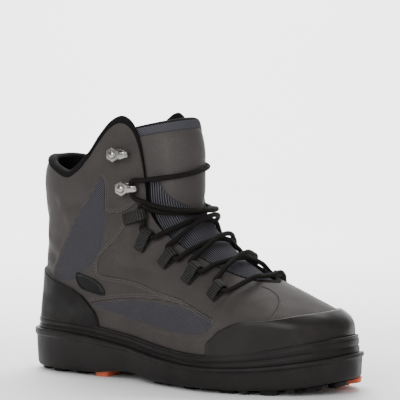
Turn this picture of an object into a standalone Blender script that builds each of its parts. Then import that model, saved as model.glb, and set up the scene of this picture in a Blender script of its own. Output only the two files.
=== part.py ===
"""A wading boot for the right foot, standing unbent on its sole. Metres, +Z up.

The origin is on the floor under the middle of the heel. +X runs to the toe, +Y to the inner side of the
foot and -Y to its outer side. The upper is worked out from level sections: each is two half superellipses
that meet at its widest station, and a point on it is named by an angle, 0 at the back of the heel, pi at
the toe, first along the outer side, and by its height. The sole, toe cap, counter, tongue, loops, hooks
and lace all take their places from that same surface.
"""

import math

import bmesh
import bpy
import numpy as np

# Driving sizes of the last and the sole
LENGTH = 0.322
HEEL_END = -0.048
BALL_WIDTH = 0.124
HEEL_WIDTH = 0.089
SHAFT_HEIGHT = 0.2215
SOLE_HEIGHT = 0.0368
BAND_HEIGHT = 0.0095
ARCH_RISE = 0.005
TOE_SPRING = 0.0085
LUG_DEPTH = 0.004

# Walls, layers and clearances
WALL = 0.0025
COLLAR_PAD = 0.0075
BINDING_STEP = 0.0007
BINDING_WIDTH = 0.0045
CAP_WALL = 0.0016
INSOLE_THICKNESS = 0.004
TONGUE_THICKNESS = 0.0055
TONGUE_SWELL = 0.0042
TONGUE_LEAN = 0.0065
TRAY_DEPTH = 0.005
SOLE_LIP = 0.0036
UPPER_INSET = 0.0072
TOE_INSET = 0.0040
BAND_GROOVE = 0.0011
GAP = 0.0003
FACET_SAG = 0.00066

# Fastenings
LACE = 0.0042
LOOP_WIDTH = 0.0095
LOOP_THICKNESS = 0.0015
LOOP_EYE = 0.0062
LOOP_RING_WIDTH = 0.0068
HOOK_HEAD = 0.011
HOOK_NECK = 0.0052
HOOK_SHEET = 0.0011
HOOK_REACH = 0.0188
PULL_WIDTH = 0.013
PULL_THICKNESS = 0.0018
PULL_BOW = 0.0025
STRAP_LIFT = 0.0009

# The lace: its length on both sides of an eye and of a hook, how far it bows to the throat in an eye, and
# how far a strand stands off the tongue at its middle where it passes under or over another, and how far
# the two slack strands to the lower hooks hang down
EYE_REACH = LOOP_RING_WIDTH / 2 + LACE / 2 + 0.0017
EYE_BOW = 0.0013
HOOK_ENTRY = 0.0060
LACE_CLEARANCE = 0.0019
CROSS_UNDER = 0.0004
CROSS_OVER = 0.0050
TOP_CROSS_OVER = 0.0080
HANG_OVER = 0.014
HANG_UNDER = 0.0165

# The last in plan: the heel's width as a share of the ball's that SECTIONS is drawn for, where the waist
# lies and how much it takes in, how far the toe swings inward, the levels over which the sole's outline
# passes into the sections, and the row of SECTIONS that pairs an angle with a place on the outline
HEEL_TO_BALL = 0.718
HEEL_TO_BALL_ENDS = (0.30, 0.555)
WAIST_AT = 0.40
WAIST_SPREAD = 0.135
WAIST_INNER = 0.20
WAIST_OUTER = 0.13
TOE_SWING = 0.042
FOOT_LINE_ENDS = (0.19, 0.31)
FOOT_ROW = 1

# How finely the forms are cut
SIDE_COLUMNS = 32
WALL_ROWS = 12
EYE_STEPS = 10
STRAP_STEPS = 4
STRAND_STEPS = 9
TIGHTENINGS = 60

# Sections of the last: height as a share of SHAFT_HEIGHT, back, widest station and front as shares of
# LENGTH, outer and inner half widths as shares of BALL_WIDTH, squareness of the back and of the front
SECTIONS = np.array([
    # height  back    widest  front   outer   inner   back  front
    [0.0900, -0.115, 0.5220, 0.7980, 0.4190, 0.3950, 2.40, 2.35],
    [0.1535, -0.121, 0.5220, 0.8105, 0.4435, 0.4190, 2.40, 2.35],
    [0.2167, -0.126, 0.5090, 0.8137, 0.4476, 0.4230, 2.40, 2.35],
    [0.2619, -0.126, 0.4910, 0.8028, 0.4395, 0.4150, 2.40, 2.25],
    [0.3025, -0.125, 0.4530, 0.7670, 0.4190, 0.3950, 2.40, 2.10],
    [0.3430, -0.123, 0.3975, 0.7050, 0.3950, 0.3750, 2.40, 2.00],
    [0.3970, -0.120, 0.3290, 0.6150, 0.3710, 0.3550, 2.40, 1.95],
    [0.4605, -0.116, 0.2610, 0.5250, 0.3510, 0.3390, 2.35, 1.95],
    [0.5237, -0.113, 0.2050, 0.4470, 0.3350, 0.3270, 2.30, 2.00],
    [0.5870, -0.112, 0.1550, 0.3880, 0.3270, 0.3185, 2.25, 2.10],
    [0.6590, -0.115, 0.1180, 0.3570, 0.3310, 0.3226, 2.20, 2.20],
    [0.7450, -0.118, 0.1055, 0.3510, 0.3390, 0.3310, 2.20, 2.30],
    [0.7900, -0.112, 0.1030, 0.3510, 0.3420, 0.3340, 2.20, 2.30],
    [0.8350, -0.098, 0.1010, 0.3510, 0.3455, 0.3375, 2.20, 2.30],
    [0.9000, -0.098, 0.0995, 0.3520, 0.3490, 0.3410, 2.20, 2.30],
    [1.0160, -0.098, 0.0995, 0.3540, 0.3550, 0.3470, 2.20, 2.30],
])

# Outline of the sole: station as a share of LENGTH from its heel end, inner and outer half widths as
# shares of the width there, which runs from HEEL_WIDTH to BALL_WIDTH
OUTLINE = np.array([
    # station inner   outer
    [0.000,  0.000,  0.000],
    [0.025,  0.285,  0.285],
    [0.087,  0.446,  0.448],
    [0.149,  0.494,  0.494],
    [0.242,  0.494,  0.507],
    [0.335,  0.482,  0.520],
    [0.410,  0.426,  0.484],
    [0.506,  0.372,  0.471],
    [0.556,  0.375,  0.484],
    [0.596,  0.417,  0.502],
    [0.634,  0.451,  0.5145],
    [0.693,  0.481,  0.5105],
    [0.736,  0.493,  0.485],
    [0.798,  0.476,  0.4355],
    [0.854,  0.443,  0.383],
    [0.907,  0.383,  0.327],
    [0.941,  0.333,  0.274],
    [0.969,  0.248,  0.202],
    [0.991,  0.135,  0.110],
    [1.000,  0.010,  -0.010],
])

# Side of the sole along LENGTH: its top edge as a share of SOLE_HEIGHT, the band above it as a share of
# BAND_HEIGHT, and how far its bottom edge stands above the floor: shares of ARCH_RISE and of TOE_SPRING
SOLE_SIDE = np.array([
    # station  top   band  arch  spring
    [0.000,  0.975, 1.26, 0.00, 0.16],
    [0.055,  0.995, 1.10, 0.00, 0.00],
    [0.149,  1.000, 1.00, 0.00, 0.00],
    [0.273,  0.930, 1.00, 0.02, 0.00],
    [0.335,  0.867, 1.00, 0.60, 0.00],
    [0.391,  0.805, 1.00, 1.00, 0.00],
    [0.460,  0.710, 1.00, 0.10, 0.00],
    [0.491,  0.675, 1.00, 0.00, 0.00],
    [0.646,  0.579, 1.00, 0.00, 0.00],
    [0.801,  0.633, 1.26, 0.00, 0.02],
    [0.925,  0.783, 1.50, 0.00, 0.48],
    [1.000,  0.905, 1.45, 0.00, 1.00],
])

# Wall of the sole from its lip down: inset, and height as a share of the way from its bottom to its top
SOLE_WALL = (
    # inset   share
    (0.0010, 1.000),
    (0.0000, 0.965),
    (0.0000, 0.860),
    (0.0012, 0.810),
    (0.0022, 0.120),
    (0.0038, 0.000),
)

# Band between sole and upper from its foot up: inset beyond SOLE_LIP in BAND_GROOVE, share of its height
BAND_WALL = (
    # inset share
    (0.0, 0.00),
    (0.0, 0.34),
    (1.0, 0.42),
    (0.3, 0.52),
    (0.3, 0.80),
    (1.0, 1.00),
)

# Top edge of the upper, from the middle of its back to the end of its throat: angle at the sole and at
# the edge as shares of a half turn, and height of the edge as a share of SHAFT_HEIGHT
TOP_EDGE = np.array([
    # foot  edge   height
    [0.00, 0.000, 0.835],
    [0.08, 0.100, 0.835],
    [0.16, 0.210, 0.824],
    [0.24, 0.310, 0.799],
    [0.31, 0.400, 0.779],
    [0.36, 0.455, 0.804],
    [0.40, 0.500, 0.846],
    [0.44, 0.545, 0.919],
    [0.48, 0.590, 0.978],
    [0.52, 0.635, 1.000],
    [0.55, 0.675, 0.978],
    [0.58, 0.703, 0.923],
    [0.61, 0.722, 0.840],
    [0.64, 0.730, 0.758],
    [0.67, 0.733, 0.677],
    [0.70, 0.735, 0.614],
    [0.74, 0.745, 0.560],
    [0.79, 0.765, 0.510],
    [0.84, 0.790, 0.4695],
    [0.89, 0.825, 0.4310],
    [0.94, 0.880, 0.4085],
    [1.00, 1.000, 0.3985],
])

# Upper edge of the toe cap and of the counter: angle as a share of a half turn, share of SHAFT_HEIGHT
TOE_CAP_EDGE = np.array([
    [0.494, 0.177], [0.499, 0.200], [0.511, 0.2235], [0.529, 0.238], [0.585, 0.263],
    [0.665, 0.272], [0.729, 0.279], [0.803, 0.288], [0.881, 0.2935], [1.000, 0.297],
])
COUNTER_EDGE = np.array([
    [0.000, 0.4070], [0.100, 0.3960], [0.192, 0.3715], [0.254, 0.3476],
    [0.292, 0.3250], [0.311, 0.2957], [0.318, 0.2600], [0.321, 0.2300],
])

# How far the tongue's inner top corner is cut back, as a share of SHAFT_HEIGHT
TONGUE_CORNER = 0.10

# Edge of the tongue: height as a share of SHAFT_HEIGHT, half spread as a share of a half turn
TONGUE_SPREAD = np.array([
    [0.355, 0.150], [0.400, 0.200], [0.460, 0.265], [0.540, 0.315], [0.640, 0.335],
    [0.800, 0.335], [1.000, 0.320],
])

# Webbing loops from the toe up: angle (share of a half turn) and height (share of SHAFT_HEIGHT) of the
# sewn end and of the eye
LOOPS = (
    # sewn         eye
    (0.615, 0.340, 0.689, 0.370),
    (0.606, 0.391, 0.699, 0.434),
    (0.592, 0.447, 0.674, 0.483),
    (0.565, 0.500, 0.660, 0.556),
    (0.606, 0.612, 0.691, 0.631),
)

# Hooks from the lower up: angle and height of the middle of the head
HOOKS = (
    (0.640, 0.734),
    (0.615, 0.862),
)

# Lugs of the tread: ends as shares of LENGTH from the heel end and of BALL_WIDTH to the inner side, width
# of the broad end and of the tip as shares of BALL_WIDTH, depth as a share of LUG_DEPTH
BLACK_LUGS = (
    # broad end      tip             widths        depth
    (0.972, -0.027, 0.924, 0.009, 0.120, 0.045, 1.0),
    (0.928, -0.185, 0.887, -0.063, 0.125, 0.040, 1.0),
    (0.829, -0.350, 0.807, -0.163, 0.132, 0.040, 1.0),
    (0.716, -0.405, 0.710, -0.213, 0.139, 0.040, 1.0),
    (0.594, -0.400, 0.613, -0.215, 0.132, 0.040, 1.0),
    (0.480, -0.332, 0.499, -0.139, 0.126, 0.040, 1.0),
    (0.433, -0.240, 0.350, -0.315, 0.150, 0.030, 0.6),
    (0.851, 0.001, 0.874, 0.152, 0.090, 0.020, 0.8),
    (0.793, 0.037, 0.814, 0.206, 0.090, 0.020, 0.8),
    (0.724, 0.037, 0.739, 0.220, 0.085, 0.020, 0.8),
    (0.661, 0.001, 0.644, 0.173, 0.085, 0.020, 0.8),
    (0.788, -0.120, 0.826, 0.001, 0.085, 0.020, 0.8),
    (0.722, -0.149, 0.763, 0.037, 0.085, 0.020, 0.8),
    (0.650, -0.192, 0.694, 0.001, 0.085, 0.020, 0.8),
    (0.579, -0.177, 0.630, -0.026, 0.080, 0.020, 0.8),
    (0.582, -0.026, 0.541, 0.073, 0.085, 0.020, 0.8),
    (0.884, -0.310, 0.872, -0.192, 0.055, 0.020, 0.6),
    (0.771, -0.420, 0.760, -0.292, 0.065, 0.020, 0.6),
    (0.655, -0.432, 0.651, -0.339, 0.065, 0.020, 0.6),
    (0.524, -0.402, 0.537, -0.284, 0.060, 0.020, 0.6),
    (0.857, 0.410, 0.857, 0.317, 0.040, 0.020, 0.6),
    (0.749, 0.435, 0.753, 0.352, 0.055, 0.020, 0.6),
    (0.628, 0.385, 0.640, 0.302, 0.045, 0.020, 0.6),
    (0.203, -0.262, 0.195, -0.085, 0.120, 0.040, 1.0),
    (0.125, -0.262, 0.125, -0.085, 0.120, 0.040, 1.0),
    (0.052, -0.190, 0.085, -0.050, 0.110, 0.040, 1.0),
    (0.275, 0.262, 0.258, 0.085, 0.120, 0.040, 1.0),
    (0.197, 0.262, 0.190, 0.085, 0.120, 0.040, 1.0),
    (0.119, 0.262, 0.122, 0.085, 0.120, 0.040, 1.0),
    (0.048, 0.175, 0.082, 0.040, 0.110, 0.040, 1.0),
    (0.172, -0.010, 0.126, -0.010, 0.095, 0.060, 1.0),
    (0.240, 0.015, 0.205, 0.000, 0.085, 0.040, 0.8),
    (0.020, 0.000, 0.070, 0.000, 0.090, 0.030, 1.0),
)
ORANGE_LUGS = (
    # broad end      tip            widths        depth
    (0.973, 0.195, 0.924, 0.118, 0.112, 0.035, 1.0),
    (0.908, 0.345, 0.892, 0.180, 0.108, 0.038, 1.0),
    (0.811, 0.423, 0.808, 0.231, 0.132, 0.042, 1.0),
    (0.689, 0.414, 0.713, 0.231, 0.138, 0.040, 1.0),
    (0.574, 0.312, 0.615, 0.149, 0.130, 0.042, 1.0),
    (0.472, 0.245, 0.497, 0.050, 0.132, 0.038, 1.0),
    (0.276, -0.292, 0.285, -0.094, 0.130, 0.040, 1.0),
)
# Oval inlay under the arch: middle, half length and half width in the same shares, turn in degrees
ARCH_OVAL = (0.407, 0.005, 0.126, 0.068, 28.0)
ARCH_OVAL_DEPTH = 0.7
LUG_DRAFT = 0.0007

# Colours, roughness and metallic share
FINISHES = {
    "synthetic_leather": ((0.075, 0.072, 0.070), 0.62, 0.0),
    "lining": ((0.035, 0.038, 0.048), 0.85, 0.0),
    "black_rubber": ((0.018, 0.017, 0.017), 0.55, 0.0),
    "orange_rubber": ((0.720, 0.125, 0.050), 0.50, 0.0),
    "webbing": ((0.012, 0.012, 0.012), 0.80, 0.0),
    "nickel": ((0.620, 0.600, 0.570), 0.25, 1.0),
}


def between(value, low, high):
    """0 below low, 1 above high, a smooth step between them."""
    t = np.clip((np.asarray(value, float) - low) / (high - low), 0.0, 1.0)
    return t * t * (3.0 - 2.0 * t)


def smooth(table, at, column):
    """A table's column read smoothly at a value of its first column, held at both ends."""
    knots, values = table[:, 0], table[:, column]
    slopes = np.gradient(values, knots)
    at = np.clip(np.asarray(at, float), knots[0], knots[-1])
    i = np.clip(np.searchsorted(knots, at) - 1, 0, len(knots) - 2)
    span = knots[i + 1] - knots[i]
    t = (at - knots[i]) / span
    start = (1 + 2 * t) * (1 - t) ** 2 * values[i] + t * (1 - t) ** 2 * span * slopes[i]
    return start + t * t * (3 - 2 * t) * values[i + 1] - t * t * (1 - t) * span * slopes[i + 1]


def width_at(share):
    """Width of the sole at a share of its length, between heel and ball."""
    return HEEL_WIDTH + (BALL_WIDTH - HEEL_WIDTH) * between(share, *HEEL_TO_BALL_ENDS)


def share_of(x):
    return (x - HEEL_END) / LENGTH


def foot_turn(angle):
    """The turn of the sole's outline that lies beside an angle of the upper."""
    _, back, widest, front, _, _, square_back, square_front = SECTIONS[FOOT_ROW]
    c = -np.cos(angle)
    power = 2.0 / np.where(c > 0, square_front, square_back)
    reach = np.where(c > 0, front - widest, widest - back)
    share = (widest + reach * np.sign(c) * np.abs(c) ** power - back) / (front - back)
    turn = np.arccos(np.clip(1.0 - 2.0 * share, -1.0, 1.0))
    return np.where(np.sin(angle) >= 0, turn, 2.0 * math.pi - turn)


def foot_line(angle):
    """Plan of the upper where it meets the sole: the sole's outline, set in."""
    turn = foot_turn(angle)
    inset = UPPER_INSET + TOE_INSET * between(np.abs(1.0 - turn / math.pi), 0.25, 0.0)
    return outline(turn) + outline_inward(turn) * inset[..., None]


def body(angle, z):
    """Points of the upper's outside at an angle and a height."""
    angle, z = np.broadcast_arrays(np.asarray(angle, float), np.asarray(z, float))
    level = z / SHAFT_HEIGHT
    back, widest, front, outer, inner, square_back, square_front = (
        smooth(SECTIONS, level, k) for k in range(1, 8))
    c, s = -np.cos(angle), np.sin(angle)
    power = 2.0 / np.where(c > 0, square_front, square_back)
    reach = np.where(c > 0, front - widest, widest - back) * LENGTH
    x = widest * LENGTH + reach * np.sign(c) * np.abs(c) ** power
    half = np.where(s > 0, outer, inner) * BALL_WIDTH
    y = -half * np.sign(s) * np.abs(s) ** power
    share = share_of(x)
    low = np.clip((0.45 - level) / 0.22, 0.0, 1.0)
    y = y + low * TOE_SWING * BALL_WIDTH * np.clip((share - 0.52) / 0.43, 0.0, 1.0) ** 1.5
    waist = np.exp(-((share - WAIST_AT) / WAIST_SPREAD) ** 2) * between(0.52 - level, 0.0, 0.26)
    y = y * (1.0 - waist * np.where(y > 0, WAIST_INNER, WAIST_OUTER))
    nominal = HEEL_TO_BALL + (1.0 - HEEL_TO_BALL) * between(share, *HEEL_TO_BALL_ENDS)
    y = y * width_at(share) / (BALL_WIDTH * nominal)
    foot = foot_line(angle)
    hold = 1.0 - between(level, *FOOT_LINE_ENDS)
    x, y = x + (foot[..., 0] - x) * hold, y + (foot[..., 1] - y) * hold
    return np.stack([x, y, z], -1)


def unit(v):
    return v / np.maximum(np.linalg.norm(v, axis=-1, keepdims=True), 1e-12)


def facing(angle, z):
    """Outward normals of the upper's outside."""
    turn, rise = 2e-3, 2e-4
    around = body(angle + turn, z) - body(angle - turn, z)
    up = body(angle, z + rise) - body(angle, z - rise)
    return unit(np.cross(around, up))


def over(angle, z, lift):
    """Points a lift outside the upper, or inside it where the lift is negative."""
    return body(angle, z) + facing(angle, z) * np.asarray(lift, float)[..., None]


def outline(turn):
    """Outline of the sole in plan: half a turn from heel to toe is its outer side, the rest its inner."""
    share = (1.0 - np.cos(turn)) / 2.0
    eased = OUTLINE.copy()
    eased[:, 0] = np.arccos(1.0 - 2.0 * OUTLINE[:, 0])
    at = np.arccos(np.cos(turn))
    half = np.where(np.sin(turn) > 0, -smooth(eased, at, 2), smooth(eased, at, 1))
    return np.stack([HEEL_END + share * LENGTH, half * width_at(share)], -1)


def outline_inward(turn):
    """Unit vectors in plan that point into the sole."""
    step = 4e-3
    d = outline(turn + step) - outline(turn - step)
    return unit(np.stack([-d[..., 1], d[..., 0]], -1))


def side(x, column):
    return smooth(SOLE_SIDE, share_of(np.asarray(x, float)), column)


def sole_top(x):
    return side(x, 1) * SOLE_HEIGHT


def rim_top(x):
    return sole_top(x) + side(x, 2) * BAND_HEIGHT


def ground(x):
    """Height of the line that the full lugs' feet follow: the floor, then the toe spring."""
    return np.maximum(side(x, 4), 0.0) * TOE_SPRING


def tread(x):
    """Height of the bottom between the lugs."""
    return LUG_DEPTH + np.maximum(side(x, 3), 0.0) * ARCH_RISE + ground(x)


def tread_facet(x):
    """Height of the faceted bottom, which runs straight between its columns."""
    stations = outline(sole_turns()[: SIDE_COLUMNS + 1])[:, 0]
    return np.interp(x, stations, tread(stations))


def seat(x):
    """Height of the band's floor, which carries the insole and the upper's edge."""
    return rim_top(x) - TRAY_DEPTH


def ring_angles():
    """Angles at the sole, one for each column round the boot, out along one side and back."""
    one = edge_row(0) * math.pi
    return np.concatenate([one, 2.0 * math.pi - one[-2:0:-1]])


def edge_row(column):
    """A column of TOP_EDGE sampled evenly between its rows."""
    rows = np.column_stack([np.arange(len(TOP_EDGE)), TOP_EDGE])
    return smooth(rows, np.linspace(0, len(TOP_EDGE) - 1, SIDE_COLUMNS + 1), column + 1)


def sole_turns():
    """For each column, the turn of the outline that lies beside it."""
    return foot_turn(ring_angles())


def solid(name, finish, points, faces):
    """A closed mesh object, its faces turned outwards and its material made."""
    mesh = bpy.data.meshes.new(name)
    mesh.from_pydata([tuple(p) for p in points], [], [tuple(int(i) for i in f) for f in faces])
    shell = bmesh.new()
    shell.from_mesh(mesh)
    bmesh.ops.recalc_face_normals(shell, faces=shell.faces)
    shell.to_mesh(mesh)
    shell.free()
    mesh.shade_smooth()
    mesh.set_sharp_from_angle(angle=math.radians(40))
    mesh.materials.append(material(finish))
    piece = bpy.data.objects.new(name, mesh)
    bpy.context.scene.collection.objects.link(piece)
    return piece


def material(finish):
    """The named finish as a Principled material, made once."""
    if finish in bpy.data.materials:
        return bpy.data.materials[finish]
    colour, roughness, metallic = FINISHES[finish]
    made = bpy.data.materials.new(finish)
    made.use_nodes = True
    shader = made.node_tree.nodes["Principled BSDF"]
    shader.inputs["Base Color"].default_value = (*colour, 1.0)
    shader.inputs["Roughness"].default_value = roughness
    shader.inputs["Metallic"].default_value = metallic
    return made


def grid_faces(rows, columns, closed, start=0):
    """Quads of a grid whose rows follow each other, with its columns joined into a ring or left open."""
    last = columns if closed else columns - 1
    return [
        (start + r * columns + c, start + r * columns + (c + 1) % columns,
         start + (r + 1) * columns + (c + 1) % columns, start + (r + 1) * columns + c)
        for r in range(rows - 1) for c in range(last)
    ]


def wrapped(grid):
    """Points and faces of a tube: a grid whose rows are rings and whose last row meets its first."""
    rows, columns = grid.shape[:2]
    faces = [
        (r * columns + c, r * columns + (c + 1) % columns,
         (r + 1) % rows * columns + (c + 1) % columns, (r + 1) % rows * columns + c)
        for r in range(rows) for c in range(columns)
    ]
    return grid.reshape(-1, 3), faces


def capped(rings):
    """Points and faces of stacked rings whose first and last are closed by strips from side to side."""
    rows, columns = rings.shape[:2]
    faces = grid_faces(rows, columns, True)
    for base in (0, (rows - 1) * columns):
        for k in range(columns // 2):
            far, near = (columns - k) % columns, (columns - k - 1) % columns
            strip = [base + k, base + k + 1, base + near, base + far]
            faces.append(tuple(dict.fromkeys(strip)))
    return rings.reshape(-1, 3), faces


def patch(outside, inside):
    """Points and faces of an open sheet with a thickness, from its two faces as grids."""
    rows, columns = outside.shape[:2]
    count = rows * columns
    faces = grid_faces(rows, columns, False) + grid_faces(rows, columns, False, count)
    border = [c for c in range(columns)]
    border += [r * columns + columns - 1 for r in range(1, rows)]
    border += [(rows - 1) * columns + c for c in range(columns - 2, -1, -1)]
    border += [r * columns for r in range(rows - 2, 0, -1)]
    for a, b in zip(border, border[1:] + border[:1]):
        faces.append((a, b, count + b, count + a))
    return np.concatenate([outside.reshape(-1, 3), inside.reshape(-1, 3)]), faces


def raised(plan, z):
    return np.concatenate([plan, np.broadcast_to(z, plan.shape[:1])[:, None]], 1)


def make_outsole():
    """The rubber sole: its lip, wall and arch, with the black lugs united under it."""
    turns = sole_turns()
    edge, inward = outline(turns), outline_inward(turns)
    top, bottom = sole_top(edge[:, 0]), tread(edge[:, 0])
    seat_inset = SOLE_LIP + 0.0015
    rings = [raised(edge + inward * inset, top - GAP * 4) for inset in (seat_inset, SOLE_LIP)]
    rings += [raised(edge + inward * inset, bottom + (top - bottom) * share) for inset, share in SOLE_WALL]
    sole = solid("outsole", "black_rubber", *capped(np.array(rings)))
    points, faces = [], []
    for lug in BLACK_LUGS:
        add_prism(points, faces, wedge(lug), lug[6], 0.0015)
    lugs = solid("lug_forms", "black_rubber", points, faces)
    lugs.hide_render = True
    lugs.display_type = "WIRE"
    join = sole.modifiers.new("lugs", "BOOLEAN")
    join.operation = "UNION"
    join.solver = "EXACT"
    join.object = lugs


def tread_place(share, across):
    return np.array([HEEL_END + share * LENGTH, across * BALL_WIDTH])


def wedge(lug):
    """Plan of a wedge lug: a narrow tip that widens to a blunt, rounded end."""
    broad, tip = tread_place(*lug[0:2]), tread_place(*lug[2:4])
    along = unit(broad - tip)
    across = np.array([-along[1], along[0]])
    wide, narrow = lug[4] * BALL_WIDTH / 2, lug[5] * BALL_WIDTH / 2
    shoulder = broad - along * wide * 0.35
    return np.array([
        tip - across * narrow * 0.5, tip + across * narrow * 0.5,
        tip + along * narrow * 0.8 + across * narrow, shoulder + across * wide, broad + across * wide * 0.62,
        broad - across * wide * 0.62, shoulder - across * wide, tip + along * narrow * 0.8 - across * narrow])


def oval(share, across, long_half, short_half, turn, count=16):
    """Plan of the oval inlay."""
    middle = tread_place(share, across)
    a = np.arange(count) * 2 * math.pi / count
    u, v = np.cos(a) * long_half * BALL_WIDTH, np.sin(a) * short_half * BALL_WIDTH
    t = math.radians(turn)
    return middle + np.stack([u * math.cos(t) - v * math.sin(t), u * math.sin(t) + v * math.cos(t)], -1)


def tilted(height, middle, x):
    """A height function's tangent at a middle, read at x."""
    step = 0.005
    slope = (height(middle + step) - height(middle - step)) / (2 * step)
    return np.maximum(height(middle) + slope * (x - middle), 0.0)


def add_prism(points, faces, plan, depth, into):
    """A lug with a flat foot and drafted sides, from its plan, reaching past the tread by into."""
    middle = plan.mean(0)
    wide = middle + (plan - middle) * (1 + LUG_DRAFT / np.abs(plan - middle).max())
    start, count = len(points), len(plan)
    if into > 0:
        above = 0.0
        top = np.full(count, tread_facet(wide[:, 0]).max() + into)
    else:
        span = np.linspace(wide[:, 0].min(), wide[:, 0].max(), 24)
        above = np.max(tilted(tread_facet, middle[0], span) - tread_facet(span))
        top = tilted(tread_facet, middle[0], wide[:, 0]) - above + into
    if depth < 1.0:
        foot = tilted(tread_facet, middle[0], plan[:, 0]) - above - LUG_DEPTH * depth
    else:
        foot = tilted(ground, middle[0], plan[:, 0])
    points += [(x, y, z) for (x, y), z in zip(plan, foot)]
    points += [(x, y, z) for (x, y), z in zip(wide, top)]
    faces += [(start + k, start + (k + 1) % count, start + count + (k + 1) % count, start + count + k)
              for k in range(count)]
    faces += [tuple(start + k for k in range(count)), tuple(start + count + k for k in range(count))]


def make_inserts():
    """The orange lugs and the oval inlay, each a piece of its own just clear of the tread."""
    for number, lug in enumerate(ORANGE_LUGS, 1):
        points, faces = [], []
        add_prism(points, faces, wedge(lug), lug[6], -GAP)
        solid(f"lug_insert_{number}", "orange_rubber", points, faces)
    points, faces = [], []
    add_prism(points, faces, oval(*ARCH_OVAL), ARCH_OVAL_DEPTH, -GAP)
    solid("arch_inlay", "orange_rubber", points, faces)


def make_band():
    """The band between sole and upper, with two ridges outside and a tray for the upper inside."""
    turns, angles = sole_turns(), ring_angles()
    edge, inward = outline(turns), outline_inward(turns)
    low, high = sole_top(edge[:, 0]) - GAP * 3, rim_top(edge[:, 0])
    rings = [raised(edge + inward * (SOLE_LIP + 0.0015), low)]
    for inset, share in BAND_WALL:
        plan = edge + inward * (SOLE_LIP + inset * BAND_GROOVE)
        rings.append(raised(plan, low + (high - low) * share))
    inner = over(angles, high, GAP)
    rings.append(raised(inner[:, :2], high))
    for lift in (GAP, -(WALL + GAP * 3)):
        floor = over(angles, high - TRAY_DEPTH, np.full(len(high), lift))
        rings.append(raised(floor[:, :2], high - TRAY_DEPTH))
    solid("midsole", "black_rubber", *capped(np.array(rings)))


def column_grid(rows):
    """Angles and heights of the upper's grid: columns from the seat to the band's rim and the top edge."""
    foot, edge, height = (edge_row(k) for k in range(3))
    x = outline(sole_turns())[: SIDE_COLUMNS + 1, 0]
    share = np.linspace(0.0, 1.0, rows - 1)[:, None]
    low, high = rim_top(x), height * SHAFT_HEIGHT
    angle = (foot + (edge - foot) * share) * math.pi
    z = low + (high - low) * share
    angle = np.concatenate([angle[:1], angle])
    z = np.concatenate([seat(x)[None] + GAP, z])
    return round_both(angle, 2.0 * math.pi - angle), round_both(z, z)


def round_both(outer, inner):
    """One side's columns followed by the other's, back to the start."""
    return np.concatenate([outer, inner[:, -2:0:-1]], 1)


def make_upper():
    """The hollow upper: outside and inside from one grid, a padded collar and a bound, rounded edge."""
    angle, z = column_grid(WALL_ROWS)
    share = np.linspace(0.0, 1.0, WALL_ROWS)[:, None]
    edge = round_both(edge_row(1)[None], edge_row(1)[None])
    pad = between(share, 0.66, 0.86) * (1.0 - between(edge, 0.50, 0.60))
    thickness = WALL + (COLLAR_PAD - WALL) * pad
    outside = over(angle, z, np.zeros_like(z))
    inside = over(angle, z, -thickness)
    upward = unit(outside[-1] - outside[-2])
    out = facing(angle[-1], z[-1])
    below = outside[-1] - upward * BINDING_WIDTH
    proud = out * BINDING_STEP * between(z[-1] / SHAFT_HEIGHT, 0.60, 0.66)[:, None]
    step = [below, below + proud + upward * BINDING_STEP * 0.5, outside[-1] + proud]
    rim = (outside[-1] + inside[-1]) / 2 + upward * thickness[-1][:, None] * 0.42
    rings = np.concatenate([outside[:-1], step, rim[None], inside[::-1]])
    solid("upper", "synthetic_leather", *wrapped(rings))


def make_insole():
    """The insole, a flat layer on the band's floor, inside the upper's wall."""
    angles = ring_angles()
    floor = seat(outline(sole_turns())[:, 0])
    plan = over(angles, floor, np.full(len(floor), -(WALL + GAP * 3)))[:, :2]
    rings = [raised(plan, floor + lift) for lift in (GAP, GAP + INSOLE_THICKNESS)]
    solid("insole", "lining", *capped(np.array(rings)))


def throat_half(level):
    """Half spread of the throat at a height, as a share of a half turn."""
    rows = TOP_EDGE[10:][::-1]
    return 1.0 - smooth(np.column_stack([rows[:, 2], rows[:, 1]]), level, 1)


def tongue_lift(angle, z):
    """How far the tongue's face lies outside the upper's: under its edge, and swelling out between."""
    level = z / SHAFT_HEIGHT
    spread = np.abs(angle / math.pi - 1.0)
    inside = np.clip((throat_half(level) - 0.012 - spread) / 0.13, 0.0, 1.0)
    free = inside * inside * (3 - 2 * inside)
    deep = -(WALL + GAP * 2)
    swell = TONGUE_SWELL * between(level, 0.50, 0.62) - TONGUE_LEAN * between(level, 0.84, 1.04)
    return deep + (swell - deep) * free * between(level, 0.42, 0.52)


def make_tongue(rows=13, columns=12):
    """The padded tongue, from inside the vamp to above the throat."""
    across = np.linspace(-1.0, 1.0, columns)[None, :]
    share = np.linspace(0.0, 1.0, rows)[:, None]
    high = (0.998 - 0.035 * across ** 2 - TONGUE_CORNER * between(across, 0.2, 1.0)) * SHAFT_HEIGHT
    low = TONGUE_SPREAD[0, 0] * SHAFT_HEIGHT
    z = low + (high - low) * share
    angle = (1.0 + across * smooth(TONGUE_SPREAD, z / SHAFT_HEIGHT, 1)) * math.pi
    lift = tongue_lift(angle, z)
    taper = 1.0 - 0.45 * between(np.abs(across), 0.75, 1.0)
    outside = over(angle, z, lift)
    inside = over(angle, z, lift - TONGUE_THICKNESS * taper)
    solid("tongue", "synthetic_leather", *patch(outside, inside))


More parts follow.
